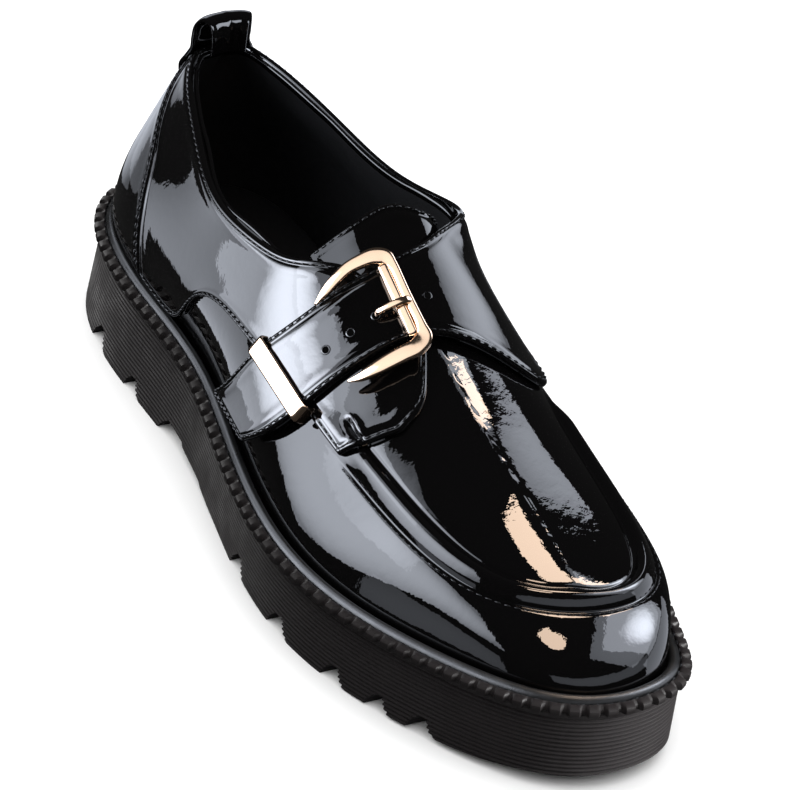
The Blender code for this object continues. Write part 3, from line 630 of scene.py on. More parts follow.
def sew(points, directions, length=STITCH_LENGTH, gap=STITCH_GAP, radius=STITCH_RADIUS):
    steps = np.linalg.norm(np.diff(points, axis=0), axis=1)
    travelled = np.append(0, np.cumsum(steps))
    count = int(travelled[-1] / (length + gap))
    middles = (np.arange(count) + 0.5) * travelled[-1] / max(count, 1)

    def at(values, where):
        return np.column_stack([np.interp(where, travelled, values[:, i]) for i in range(3)])

    tail, head = at(points, middles - length / 2), at(points, middles + length / 2)
    lift = at(directions, middles)
    angles = np.arange(STITCH_SIDES) * 2 * math.pi / STITCH_SIDES
    for a, b, up in zip(tail, head, lift):
        along = (b - a) / max(np.linalg.norm(b - a), 1e-9)
        up = up - along * np.dot(up, along)
        up /= max(np.linalg.norm(up), 1e-9)
        side = np.cross(along, up)
        base = len(stitch_points)
        for share, wide in STITCH_PROFILE:
            bow = up * radius * (STITCH_BOW * math.sin(math.pi * share) - STITCH_SINK)
            for angle in angles:
                round_out = math.cos(angle) * side + math.sin(angle) * up
                stitch_points.append(a + (b - a) * share + bow + round_out * radius * wide)
        for face in grid_faces(len(STITCH_PROFILE), STITCH_SIDES, True, base):
            stitch_faces.append(face[::-1])
        last = base + (len(STITCH_PROFILE) - 1) * STITCH_SIDES
        stitch_faces.append(list(range(base, base + STITCH_SIDES)))
        stitch_faces.append(list(range(last + STITCH_SIDES - 1, last - 1, -1)))


def stitch_count():
    return len(stitch_points) // (len(STITCH_PROFILE) * STITCH_SIDES)


print("one stitch every", STITCH_LENGTH + STITCH_GAP, "mm")

# %% [markdown]
# A seam runs at an even distance from the edge of its piece. Walking in from the edge along every line of
# the grid finds that place, whatever the grid's spacing is.

# %% Seams beside an edge
def inset_line(grid, direction, edge, inset):
    turned = {"low": (0, 1), "high": (0, -1), "rear": (1, 1), "front": (1, -1)}[edge]
    lines = np.moveaxis(grid, 1 - turned[0], 0)[:, :: turned[1]]
    ways = np.moveaxis(direction, 1 - turned[0], 0)[:, :: turned[1]]
    points, ups = [], []
    for line, way in zip(lines, ways):
        travelled = np.append(0, np.cumsum(np.linalg.norm(np.diff(line, axis=0), axis=1)))
        points.append([np.interp(inset, travelled, line[:, i]) for i in range(3)])
        ups.append([np.interp(inset, travelled, way[:, i]) for i in range(3)])
    return np.array(points), np.array(ups)


trial = np.dstack(np.meshgrid(np.arange(6.0), np.arange(4.0)) + [np.zeros((4, 6))])
print("1.5 mm in from a low edge:", inset_line(trial, trial, "low", 1.5)[0][0], "mm")

# %% [markdown]
# ## The upper
# The vamp goes round the toe and under the quarters. Its apron seam is a rolled ridge: the apron's edge is
# gathered over a cord, so there is a groove inside it and a stitched crease outside. The grid has rows that
# follow the seam, close together across it, so the ridge is smooth all the way round the toe.

# %% Rows of the upper
# Station, share of the way from the seam line to the crown that the vamp covers.
THROAT_ROWS = [
    (0, 1.0),
    (104, 1.0),
    (112, 0.95),
    (120, 0.83),
    (132, 0.64),
    (146, 0.5),
    (158, 0.52),
    (172, 1.0),
    (278, 1.0),
]
ROW_FADE = (128.0, 168.0)
UPPER_COLUMNS = 400
WALL_SHARES = 1 - (1 - np.linspace(0, 1, 34)) ** 1.25
SEAM_STEPS = np.linspace(0, 8.4, 22)[1:]
APRON_SHARES = np.linspace(0, 1, 34)[1:]
# Height, distance inward from the seam line, spread.
CREASE = (0.6, 0.0, 0.65)
RIDGE_GROOVE = (0.4, RIDGE_WIDTH, 0.8)


def seam_relief(turn, girth):
    """The stitched crease outside the rolled seam and the groove inside it."""
    reach = top_reach(turn)
    _, _, low, edge, _, _, _ = edge_frame(turn)
    wall = np.linalg.norm(edge - low, axis=1)
    across = np.where(girth > 1, (girth - 1) * reach, (girth - 1) * wall)
    depth = hump(across, *CREASE) + hump(across, *RIDGE_GROOVE)
    return -depth * ease(*RIDGE_FADE, station_of(turn))


def upper_rows(turns):
    station = station_of(turns)
    reach = top_reach(turns)
    throat = table_curve(THROAT_ROWS, 1, station)
    in_front = ease(*ROW_FADE, station)
    girths = [np.full(len(turns), share) for share in WALL_SHARES]
    count = len(SEAM_STEPS) + len(APRON_SHARES)
    for i, step in enumerate(SEAM_STEPS):
        girths.append(1 + (i + 1) / count * throat * (1 - in_front) + step / reach * in_front)
    seam_end = SEAM_STEPS[-1] / reach
    for i, share in enumerate(APRON_SHARES):
        even = (i + 1 + len(SEAM_STEPS)) / count * throat
        girths.append(1 + even * (1 - in_front) + (seam_end + (throat - seam_end) * share) * in_front)
    return np.array(girths), (throat >= 1) & (station >= CROWN_START)


upper_turns = np.arange(UPPER_COLUMNS) * 2 / UPPER_COLUMNS
print("rows from the welt to the crown:", len(upper_rows(upper_turns)[0]))

# %% [markdown]
# The vamp and the lining share those rows. The lining is a second skin inside, and the leather is turned
# over the top edge to meet it, as a maker folds it. Under the strap both halves of the apron meet on the
# crown, and their points are welded there.

# %% Vamp, apron and lining
LINING_DEPTH = -1.3
COLLAR_ROLL = 0.6
upper_girths, meets_crown = upper_rows(upper_turns)
rows = len(upper_girths)
all_turns = np.tile(upper_turns, rows)
all_girths = upper_girths.ravel()
relief = seam_relief(all_turns, all_girths)
spine = upper_point(upper_turns[meets_crown], 2.0)
outer = lifted(all_turns, all_girths, relief).reshape(rows, UPPER_COLUMNS, 3)
outer[-1, meets_crown] = spine
inner = lifted(all_turns, all_girths, LINING_DEPTH).reshape(rows, UPPER_COLUMNS, 3)
inner[-1, meets_crown] = spine + (0, 0, LINING_DEPTH)

beyond = outer[-1] - outer[-2]
beyond *= COLLAR_ROLL / np.linalg.norm(beyond, axis=1)[:, None]
beyond[meets_crown] = 0
turned_over = np.stack([outer[-1] * 0.5 + inner[-1] * 0.5 + beyond, inner[-1], inner[-4]])
leather = np.concatenate([outer, turned_over])
faces = grid_faces(len(leather), UPPER_COLUMNS, True)
make_piece("upper_leather", leather.reshape(-1, 3), faces, patent, "patent_leather", "upper", weld=True)
skin = inner[:-3:3]
faces = [face[::-1] for face in grid_faces(len(skin), UPPER_COLUMNS, True)]
make_piece("upper_lining", skin.reshape(-1, 3), faces, lining, "lining", weld=True)

# %% [markdown]
# The crease outside the ridge is sewn through. The row runs from the tab on the outer side round the toe to
# the flap on the inner side. It is laid on the face of the upper, so it follows the crease by itself.

# %% Apron stitches
apron_turns = np.linspace(turn_of(184), 2 - turn_of(186), 900)
_, _, apron_low, apron_edge, _, _, _ = edge_frame(apron_turns)
wall_height = np.linalg.norm(apron_edge - apron_low, axis=1)
SEAM_DROP = 1.0
crease_girth = 1 - SEAM_DROP / wall_height
sew(lifted(apron_turns, crease_girth, -0.2), face_direction(apron_turns, crease_girth), radius=0.28)
print("stitches so far:", stitch_count())

# %% [markdown]
# ## Outer quarter
# The outer quarter wraps the heel side and ends in a tab on the instep, where the strap is fastened. It is
# drawn by rows, as a pattern cutter would: a point on its lower edge and one on its upper edge, with the
# seam behind and the curve in front given as lines of their own.

# %% Pattern of the outer quarter
COUNTER_SEAM = [(0.18, 56), (0.66, 51.5), (1.04, 47), (1.3, 40), (1.55, 23), (1.74, 12), (2.0, 6.5)]
COUNTER_INNER_SEAM = [(0.18, 55), (0.66, 50.5), (1.04, 46), (1.3, 39), (1.55, 22), (1.74, 11), (2.0, 6)]
# Lower edge (station, girth), upper edge (station, girth).
QUARTER_ROWS = [
    (57, 0.18, 7.5, 2.0),
    (66, 0.18, 25, 2.0),
    (76, 0.18, 45, 2.0),
    (81, 0.22, 60, 2.0),
    (86, 0.42, 76, 2.0),
    (92, 0.70, 90, 2.0),
    (98, 0.90, 100, 2.0),
    (105, 1.02, 108, 1.98),
    (112, 1.07, 115, 1.93),
    (120, 1.08, 122, 1.855),
    (132, 1.05, 131, 1.72),
    (146, 1.04, 145, 1.60),
    (160, 1.03, 158, 1.60),
    (172, 1.02, 172, 1.74),
    (182, 1.02, 186, 1.86),
]
TAB_FRONT = [
    (182, 1.02),
    (188, 1.14),
    (193, 1.29),
    (196, 1.43),
    (196, 1.56),
    (195, 1.65),
    (190, 1.78),
    (186, 1.86),
]
print("quarter rows:", len(QUARTER_ROWS), "tab rows:", len(TAB_FRONT))

# %% [markdown]
# A pattern becomes a grid in two steps. The rows fill the patch from its lower to its upper edge, and then
# the ends are pulled on to the seam behind and the curve in front. The grid is laid over the face of the
# upper, evened out, and given its thickness.

# %% Patches and overlays
EDGE_PULL = 2.5
OVERLAY_LIFT = 0.8
OVERLAY_WALL = 1.4
OVERLAY_REACH = 6.0


def along_rows(rows, shares):
    table = np.array([(turn_of(station), girth) for station, girth in rows])
    steps = np.linalg.norm(np.diff(table * (1, 0.4), axis=0), axis=1)
    length = np.append(0, np.cumsum(steps))
    keyed = [(length[i], *table[i]) for i in range(len(table))]
    return np.column_stack([table_curve(keyed, column, shares * length[-1]) for column in (1, 2)])


def patch(rows, rear, front, a, b):
    keyed = [(i, turn_of(row[0]), row[1], turn_of(row[2]), row[3]) for i, row in enumerate(rows)]
    where = a * (len(rows) - 1)
    low = np.column_stack([table_curve(keyed, column, where) for column in (1, 2)])
    high = np.column_stack([table_curve(keyed, column, where) for column in (3, 4)])
    up = b[:, None, None]
    grid = (1 - up) * low[None] + up * high[None]
    on = a[None, :, None]
    rear_pull = along_rows(rear, b)[:, None] - grid[:, :1]
    front_pull = along_rows(front, b)[:, None] - grid[:, -1:]
    return grid + rear_pull * (1 - on) ** EDGE_PULL + front_pull * on**EDGE_PULL


def in_front_of(seam, step=0.6):
    girth = np.linspace(seam[0][0], seam[-1][0], 15)
    return list(zip(table_curve(seam, 1, girth) + step, girth))


def overlay_grids(grid, side, lift_of, reach=OVERLAY_REACH):
    turn = np.mod(side * grid[..., 0].ravel(), 2.0)
    base = lifted(turn, grid[..., 1].ravel(), OVERLAY_LIFT).reshape(*grid.shape[:2], 3)
    base = even_along(base, reach)
    up = side * outward_of(base)
    outer = base + up * (lift_of(base) - OVERLAY_LIFT)[..., None]
    return [part[:, ::side] for part in (outer, base - up * (OVERLAY_LIFT - 0.1), up)]


print("overlays are", OVERLAY_WALL, "mm thick,", OVERLAY_LIFT, "mm over the upper")

# %% [markdown]
# The tab is pinched by a tack near its front corner, which leaves a slit with a raised lip. Cutting a real
# slit would break the grid, so the lift of the leather dips on one side of the slit's line and swells on
# the other.

# %% Outer quarter
SLIT_ENDS = ((180.5, -0.815), (187.0, -0.83))
SLIT_REACH = 3.6
SLIT_DEPTH = 6
# Height, distance beside the slit, spread.
SLIT_DIP = (1.9, 1.0, 1.0)
SLIT_LIP = (0.9, -0.7, 0.9)
# Height, spread beside the slit, spread along it.
TAB_SWELL = (0.8, 5.0, 7.0)


def quarter_lift(base):
    ends = over_instep(*np.transpose([(*end, 2.0) for end in SLIT_ENDS]))
    along = (ends[1] - ends[0]) / np.linalg.norm(ends[1] - ends[0])
    outward = face_direction(turn_of(184.0), 1.18)[0]
    away = base - ends.mean(axis=0)
    lengthwise = away @ along
    sideways = away @ np.cross(along, outward)
    near = np.exp(-((lengthwise / SLIT_REACH) ** 4)) * hump(away @ outward, 1.0, 0.0, SLIT_DEPTH)
    pinch = hump(sideways, *SLIT_LIP) - hump(sideways, *SLIT_DIP)
    height, beside, along_it = TAB_SWELL
    swell = height * np.exp(-((sideways / beside) ** 2) - (lengthwise / along_it) ** 2)
    return folded_lift(edge_distance(base), OVERLAY_LIFT, OVERLAY_WALL) + swell + pinch * near


quarter = patch(QUARTER_ROWS, in_front_of(COUNTER_SEAM), TAB_FRONT, spread(190, 0.9), spread(48, 0.9))
quarter_outer, quarter_inner, quarter_up = overlay_grids(quarter, 1, quarter_lift)
points, faces = sheet_mesh(quarter_outer, quarter_inner)
make_piece("outer_quarter", points, faces, patent, "patent_leather", "lateral_quarter")
for edge in ("low", "high", "front"):
    sew(*inset_line(quarter_outer, quarter_up, edge, SEAM_INSET))

# %% [markdown]
# ## Heel counter
# The counter covers the heel seam. It is cut as one piece that goes round the back. Two mirrored halves
# could be joined, but one grid from the inner seam over the heel to the outer one has no join to hide. It
# is sewn on with two rows along each seam.

# %% Heel counter
counter_b = spread(62, 1.3)
counter_a = spread(96, 1.3)
counter_girth = COUNTER_SEAM[0][0] + (2.0 - COUNTER_SEAM[0][0]) * counter_b
outer_seam = turn_of(table_curve(COUNTER_SEAM, 1, counter_girth))
inner_seam = turn_of(table_curve(COUNTER_INNER_SEAM, 1, counter_girth))
counter_turns = -inner_seam[:, None] * (1 - counter_a) + outer_seam[:, None] * counter_a
counter = np.dstack([counter_turns, np.repeat(counter_girth[:, None], len(counter_a), axis=1)])


def counter_lift(base):
    return folded_lift(edge_distance(base), OVERLAY_LIFT, OVERLAY_WALL)


counter_outer, counter_inner, counter_up = overlay_grids(counter, 1, counter_lift, 3.0)
points, faces = sheet_mesh(counter_outer, counter_inner)
make_piece("counter_leather", points, faces, patent, "patent_leather", "heel_counter")
for edge in ("rear", "front"):
    for inset in (1.5, 3.3):
        sew(*inset_line(counter_outer, counter_up, edge, inset), radius=0.26)

# %% [markdown]
# ## Inner quarter, flap and strap
# On the real shoe the inner quarter, the flap and the strap are one piece of leather, so here they become
# one mesh. Two patterns describe it: rows from the heel to the flap, and rows across the instep.

# %% Patterns of the inner quarter and the strap
INNER_ROWS = [
    (56, 0.18, 7, 2.0),
    (66, 0.18, 25, 2.0),
    (76, 0.18, 45, 2.0),
    (81, 0.22, 62, 2.0),
    (86, 0.42, 78, 2.0),
    (92, 0.70, 90, 2.0),
    (98, 0.90, 100, 2.0),
    (105, 1.02, 107, 2.0),
    (112, 1.06, 112, 2.0),
    (122, 1.055, 117, 1.99),
    (131, 1.045, 123, 1.97),
    (142, 1.04, 130.5, 1.893),
]
# Upper edge (station, around), lower edge, lift, thickness; around is -2 outside, 0 crown, 2 inside.
STRAP_ROWS = [
    (122, -1.59, 147, -1.58, 3.0, 2.0),
    (126, -1.48, 152.5, -1.48, 3.0, 2.0),
    (133, -1.26, 158, -1.26, 3.0, 2.0),
    (137, -0.91, 162, -1.02, 3.0, 2.0),
    (142, -0.80, 166, -0.90, 3.0, 2.0),
    (150, -0.62, 172, -0.72, 3.0, 2.0),
    (158, -0.49, 178, -0.48, 3.0, 2.0),
    (164.5, -0.25, 183, -0.22, 3.0, 2.0),
    (166.9, 0.0, 187.2, 0.0, 2.8, 2.0),
    (165.5, 0.09, 187.6, 0.14, 2.5, 2.0),
    (161.2, 0.205, 187.2, 0.28, 2.1, 2.0),
    (155.5, 0.285, 186.8, 0.45, 1.5, 1.9),
    (149, 0.30, 186.3, 0.62, 1.2, 1.8),
    (143, 0.25, 184, 0.84, 1.0, 1.6),
    (138.2, 0.205, 173, 0.96, 0.9, 1.5),
    (134.2, 0.165, 158, 0.96, 0.9, 1.4),
    (130.5, 0.107, 142, 0.96, 0.9, 1.4),
]
print("inner quarter rows:", len(INNER_ROWS), "strap rows:", len(STRAP_ROWS))

# %% [markdown]
# Where the strap crosses to the outer side it is pulled tight, so it is straight from edge to edge; on the
# inner side it hugs the instep. A cloth simulation could find that by itself, but each row can simply blend
# between the two forms, which gives the same shape every time.

# %% Strap
TIGHT_UNTIL = (7.5, 11.0)
STRAP_REACH = 5.0
flap_shares = spread(40, 1.2)
strap_where = spread(170, 1.1) * (len(STRAP_ROWS) - 1)
keyed = [(i, *row) for i, row in enumerate(STRAP_ROWS)]
top_station, top_around, low_station, low_around, strap_low, strap_wall = (
    table_curve(keyed, column, strap_where) for column in range(1, 7)
)
share = flap_shares[:, None]
strap_station = low_station + (top_station - low_station) * share
strap_around = low_around + (top_around - low_around) * share
strap_lift = np.broadcast_to(strap_low + strap_wall, strap_station.shape)
hugging = over_instep(strap_station.ravel(), strap_around.ravel(), strap_lift.ravel())
hugging = hugging.reshape(*strap_station.shape, 3)
straight = hugging[:1] + (hugging[-1:] - hugging[:1]) * share[..., None]
tight = (1 - ease(*TIGHT_UNTIL, strap_where))[None, :, None]
strap_face = even_along(hugging + (straight - hugging) * tight, STRAP_REACH)
strap_up = outward_of(strap_face)
strap_fold = folded_lift(edge_distance(strap_face, front=False), 0.0, strap_wall) - strap_wall
strap_outer = strap_face + strap_up * strap_fold[..., None]
strap_inner = strap_face - strap_up * strap_wall[None, :, None]

print("strap and flap:", strap_outer.shape[0], "by", strap_outer.shape[1], "points")

# %% [markdown]
# The inner quarter ends on the line where the strap's grid begins. Both take the same points there, and
# they are welded, so that the two patterns become one piece of leather.

# %% Inner quarter with flap and strap
first, last = (142.0, 1.04), (130.5, 1.893)
seam_line = np.array(first) + (np.array(last) - first) * share
inner_rear = in_front_of(COUNTER_INNER_SEAM)
inner_quarter = patch(INNER_ROWS, inner_rear, [first, last], spread(130, 1.3), flap_shares)
inner_quarter[:, -1] = np.column_stack([turn_of(seam_line[:, 0]), seam_line[:, 1]])


def inner_lift(base):
    return folded_lift(edge_distance(base, front=False), OVERLAY_LIFT, OVERLAY_WALL)


inner_outer, inner_inner, inner_up = overlay_grids(inner_quarter, -1, inner_lift)
inner_outer[:, 0] = strap_outer[:, -1]
inner_inner[:, 0] = strap_inner[:, -1]
strap_points, strap_faces = sheet_mesh(strap_outer, strap_inner)
more_points, more_faces = sheet_mesh(inner_outer, inner_inner)
strap_faces += [[i + len(strap_points) for i in face] for face in more_faces]
points = np.concatenate([strap_points, more_points])
nodes = ("strap", "medial_quarter")
make_piece("inner_quarter_and_strap", points, strap_faces, patent, "patent_leather", *nodes, weld=True)
for edge in ("low", "high"):
    sew(*inset_line(strap_outer, strap_up, edge, SEAM_INSET))
    sew(*inset_line(inner_outer, inner_up, edge, SEAM_INSET))
sew(*inset_line(strap_outer, strap_up, "rear", SEAM_INSET))

# %% [markdown]
# ## Tongue
# The tongue is a plain padded sheet under the strap, and only its top shows. It could be cut from the face
# of the upper, but its top edge stands free above the instep. So it is stretched between that edge and a
# line under the strap, and its rim is rolled and sewn.

# %% Tongue
TONGUE_TOP = [
    (-1.0, -19.5, 128.0, 82.0),
    (-0.5, -11.5, 132.0, 91.5),
    (0.0, 2.0, 131.0, 96.8),
    (0.5, 15.0, 131.0, 92.0),
    (1.0, 22.0, 126.0, 83.5),
]
TONGUE_WALL = 2.0
TONGUE_SAG = 1.5
tongue_share = spread(62, 1.3) * 2 - 1
top = np.column_stack([table_curve(TONGUE_TOP, column, tongue_share, False) for column in (1, 2, 3)])
top[:, 1] = HALF_LENGTH - top[:, 1]
end = over_instep(186.0, tongue_share * 0.62, -3.4)
way = spread(50, 1.3)[:, None, None]
middle = end * (1 - way) + top * way - TONGUE_SAG * np.sin(math.pi * way) * np.array([0, 0, 1])
tongue_up = outward_of(middle)
rolled = folded_lift(edge_distance(middle, low=False), 0.0, TONGUE_WALL) - TONGUE_WALL
tongue_outer = middle + tongue_up * rolled[..., None]
points, faces = sheet_mesh(tongue_outer, middle - tongue_up * TONGUE_WALL)
make_piece("tongue_leather", points, faces, patent, "patent_leather", "tongue")
sew(*inset_line(tongue_outer, tongue_up, "high", SEAM_INSET))

# %% [markdown]
# ## Pull loop
# The pull loop is a narrow strip sewn to the counter, folded over the heel's top edge and sewn down inside.
# A curve with a flat bevel could make such a strip, but it would not lie on the round heel. Here its rows
# give the distance out from the collar and the height over it, and a smooth curve bends the strip along
# them.

# %% Pull loop
LOOP_ROWS = [
    (4.1, 1.6),
    (4.0, 5.0),
    (3.3, 9.6),
    (1.0, 12.2),
    (-2.0, 11.6),
    (-3.4, 8.2),
    (-3.8, 4.5),
    (-3.9, 1.0),
]
LOOP_WALL = 1.3
loop_turns = -0.105 + 0.21 * spread(24, 1.0)
_, loop_inward, _, _, loop_collar, _, _ = edge_frame(loop_turns)
loop_rows = [lifted(loop_turns, girth, lift) for girth, lift in ((1.72, 2.7), (1.78, 3.7), (1.9, 3.9))]
loop_rows += [loop_collar - loop_inward * out + np.array([0, 0, rise]) for out, rise in LOOP_ROWS]
loop_rows = np.array(loop_rows)
keyed_steps = np.append(0, np.cumsum(np.linalg.norm(np.diff(loop_rows[:, 10], axis=0), axis=1)))
loop_where = np.linspace(0, keyed_steps[-1], 70)
loop = np.zeros((len(loop_where), len(loop_turns), 3))
for column in range(len(loop_turns)):
    keyed = [(keyed_steps[i], *loop_rows[i, column]) for i in range(len(loop_rows))]
    for axis in range(3):
        loop[:, column, axis] = table_curve(keyed, axis + 1, loop_where, False)
loop_out = outward_of(loop)
roll = np.clip(edge_distance(loop, low=False, high=False) / FOLD, 0, 1)
thinner = LOOP_WALL * 0.5 * (1 - np.sqrt(1 - (1 - roll) ** 2))[..., None]
loop_outer = loop - loop_out * thinner
loop_inner = loop - loop_out * (LOOP_WALL - thinner)
points, faces = sheet_mesh(loop_outer, loop_inner)
make_piece("loop_strip", points, faces, patent, "patent_leather", "pull_loop")

# %% [markdown]
# ## Outsole
# The sole unit is moulded in one: fine ribs round its side and deep channels under it. A mould has two
# halves for that, and so has this mesh: a ribbed block, and a prism with the tread's profile that is cut
# away from it. The profile comes first. The toe lifts off the floor, and the channels rise steeply on one
# side.

# %% Profile of the tread
TOE_SPRING = 6.0
TOE_SPRING_START = 205.0
CHANNEL_ROWS = [
    (36, 45, 6.4),
    (63, 70, 5.6),
    (152, 160.5, 6.2),
    (180, 188, 6.0),
    (206, 212.5, 5.6),
    (222, 227.8, 5.2),
    (235, 241, 5.4),
]
CHANNEL_SHAPE = [
    (0, 0, 0),
    (0.14, 0.42, 0),
    (0.55, 0.93, 0),
    (0.92, 1, 0),
    (1, 0.8, 0),
    (1, 0.45, 0.4),
    (1, 0.12, 1.7),
    (1, 0, 3.4),
]
ARCH_ROWS = [(86, 0), (88, 2.8), (91.5, 5.6), (94, 5.9), (106, 3.4), (120, 1.8), (138, 0)]


def toe_lift(along):
    return TOE_SPRING * (max(along - TOE_SPRING_START, 0) / (LENGTH - TOE_SPRING_START)) ** 2


def tread_line():
    groups = [list(ARCH_ROWS)]
    for start, end, depth in CHANNEL_ROWS:
        shape = [(start + share * (end - start) + past, part * depth) for share, part, past in CHANNEL_SHAPE]
        groups.append(shape)
    groups.append([(along, 0.0) for along in np.linspace(248, LENGTH + 10, 24)])
    points = [(-10.0, 0.0)]
    for group in sorted(groups):
        points.extend((along, height + toe_lift(along)) for along, height in group)
    return points + [(LENGTH + 10, -30.0), (-10.0, -30.0)]


profile = tread_line()
print("points on the tread's profile:", len(profile))

# %% [markdown]
# The ribbed block is lofted level by level from the outline, and it flares out a little at the heel. Bump
# could fake the ribs, but then the sole's edge would be smooth where it meets the floor.

# %% Ribbed block
SOLE_OVERHANG = 2.6
HEEL_FLARE = 2.8
FLARE_DEPTH = 28.0
RIB_COUNT = 18
RIB_PITCH = 1.35
RIB_DEPTH = 0.5
RIB_START = 2.6
# Share of the pitch, share of the depth.
RIB_SHAPE = [(0.0, 1.0), (0.16, 0.9), (0.3, 0.15), (0.4, 0.0), (0.6, 0.0), (0.7, 0.15), (0.84, 0.9)]
SOLE_COLUMNS = 320


def capped(rows, columns):
    faces = []
    for level, order in ((0, -1), (rows - 1, 1)):
        base = level * columns
        for i in range(columns // 2):
            ends = [base + i, base + i + 1, base + columns - i - 1, base + (columns - i) % columns]
            faces.append(list(dict.fromkeys(ends))[::order])
    return faces


sole_turns = np.arange(SOLE_COLUMNS) * 2 / SOLE_COLUMNS
levels = [(0.3, 0.9), (0.35, 0.3), (0.8, 0.0), (RIB_START - 0.7, 0.0)]
for rib in range(RIB_COUNT):
    for part, share in RIB_SHAPE:
        levels.append((RIB_START + (rib + part) * RIB_PITCH, RIB_DEPTH * share))
levels += [(RIB_START + RIB_COUNT * RIB_PITCH, 0.1), (38.0, 0.0)]
flare = HEEL_FLARE * (1 - ease(80, 150, station_of(sole_turns)))
rings = []
for depth, hollow in reversed(levels):
    points, _ = outline(sole_turns, SOLE_OVERHANG + hollow - flare * min(depth, FLARE_DEPTH) / FLARE_DEPTH)
    rings.append(np.column_stack([points, welt_height(points[:, 1]) - depth]))
rings = np.array(rings)
faces = grid_faces(len(rings), SOLE_COLUMNS, True) + capped(len(rings), SOLE_COLUMNS)
sole = make_piece("sole_unit", rings.reshape(-1, 3), faces, sole_rubber, "sole_rubber", "outsole")

# %% [markdown]
# One exact boolean cuts the tread. Its result is kept as a plain mesh, so nothing depends on the cutter
# later.

# %% Cut the tread
count = len(profile)
prism = [(side, HALF_LENGTH - along, height) for side in (-80.0, 80.0) for along, height in profile]
prism_faces = [list(range(count)), list(range(2 * count - 1, count - 1, -1))]
prism_faces += [[i, i + count, (i + 1) % count + count, (i + 1) % count] for i in range(count)]
cutter_mesh = bpy.data.meshes.new("tread_cutter")
cutter_mesh.from_pydata((np.array(prism) * MM).tolist(), [], prism_faces)
work = bmesh.new()
work.from_mesh(cutter_mesh)
bmesh.ops.recalc_face_normals(work, faces=work.faces)
work.to_mesh(cutter_mesh)
work.free()
cutter = bpy.data.objects.new("tread_cutter", cutter_mesh)
bpy.context.scene.collection.objects.link(cutter)
cut = sole.modifiers.new("Tread", "BOOLEAN")
cut.object = cutter
cut.operation = "DIFFERENCE"
cut.solver = "EXACT"
graph = bpy.context.evaluated_depsgraph_get()
cut_mesh = bpy.data.meshes.new_from_object(sole.evaluated_get(graph))
sole.modifiers.clear()
sole.data = cut_mesh
bpy.data.objects.remove(cutter)
sole.data.set_sharp_from_angle(angle=math.radians(35))
print("outsole after cutting:", len(sole.data.polygons), "faces")

# %% [markdown]
# ## Welt
# The welt is a strip laid on the sole's edge and sewn through it. Its outer band is cut into flat cogs,
# like the rim of a gear, and a round bead lies against the upper, with the seam in the groove between them.
# Every point of a section says how far it follows the cogs. The band is as dull as the sole, only darker,
# and the bead is smoother, so they are two pieces.

# %% Sections of the welt
# Inset from the outline, rise over the sole, share of the cogs.
BAND_SECTION = [
    (0.5, 0.0, 0.9),
    (0.1, 0.3, 1.0),
    (0.0, 0.8, 1.0),
    (0.0, 1.5, 1.0),
    (0.2, 2.0, 1.0),
    (0.6, 2.3, 0.95),
    (1.3, 2.5, 0.75),
    (2.0, 2.6, 0.5),
    (2.6, 2.6, 0.25),
    (2.95, 2.4, 0.0),
    (3.15, 1.9, 0.0),
    (3.3, 0.6, 0.0),
    (2.0, 0.0, 0.0),
]
BEAD_SECTION = [
    (3.0, 0.4, 0.0),
    (3.2, 1.6, 0.0),
    (3.45, 2.3, 0.0),
    (3.85, 2.95, 0.0),
    (4.4, 3.4, 0.0),
    (5.1, 3.6, 0.0),
    (5.8, 3.45, 0.0),
    (6.3, 3.0, 0.0),
    (6.7, 2.2, 0.0),
    (6.9, 0.0, 0.0),
    (5.0, -0.1, 0.0),
]
print("points on the sections:", len(BAND_SECTION), "and", len(BEAD_SECTION))

# %% [markdown]
# Each section is swept round the outline. An array of copies along a curve could set the cogs, but the
# copies would have to be joined. In a sweep the cogs are only a wave in the distance from the edge, evenly
# spaced.

# %% Welt with its cogged band
COG_COUNT = 124
COG_STEPS = 12
COG_INSET = 1.3
COG_DROP = 0.5
COG_SLOPE = (0.09, 0.24)
cog_points = COG_COUNT * COG_STEPS
welt_turns = np.arange(cog_points) * 2 / cog_points
welt_edge, _ = outline(welt_turns)
steps = np.linalg.norm(np.diff(welt_edge, axis=0, append=welt_edge[:1]), axis=1)
travelled = np.append(0, np.cumsum(steps))
even_steps = np.linspace(0, travelled[-1], cog_points, endpoint=False)
welt_turns = np.interp(even_steps, travelled, np.append(welt_turns, 2.0))
welt_edge, _ = outline(welt_turns)
phase = np.abs((np.arange(cog_points) / COG_STEPS + 0.5) % 1 - 0.5)
cog = 1 - ease(*COG_SLOPE, phase)


def swept_welt(section):
    rows = []
    for inset, rise, follows in section + section[:1]:
        points, _ = outline(welt_turns, inset + COG_INSET * follows * cog)
        height = welt_height(welt_edge[:, 1]) + rise - COG_DROP * follows * cog * (rise > 1)
        rows.append(np.column_stack([points, height]))
    return np.concatenate(rows), grid_faces(len(rows), cog_points, True)


band = make_piece("cogged_band", *swept_welt(BAND_SECTION), band_rubber, "welt_rubber", "welt")
band.data.set_sharp_from_angle(angle=math.radians(30))
make_piece("welt_bead", *swept_welt(BEAD_SECTION), welt_rubber, "welt_rubber")
welt_line, welt_inward = outline(welt_turns, 3.2)
line_height = welt_height(welt_edge[:, 1]) + 2.1
welt_up = np.column_stack([-0.4 * welt_inward, np.ones(cog_points)])
sew(np.column_stack([welt_line, line_height]), welt_up, length=2.2, gap=1.6, radius=0.3)

# %% [markdown]
# ## Insole
# The insole is a flat padded board inside, cut to the outline with a rounded rim. Only a little of it shows
# through the mouth of the shoe, so a few rings of points are enough, and no cushion has to be simulated.

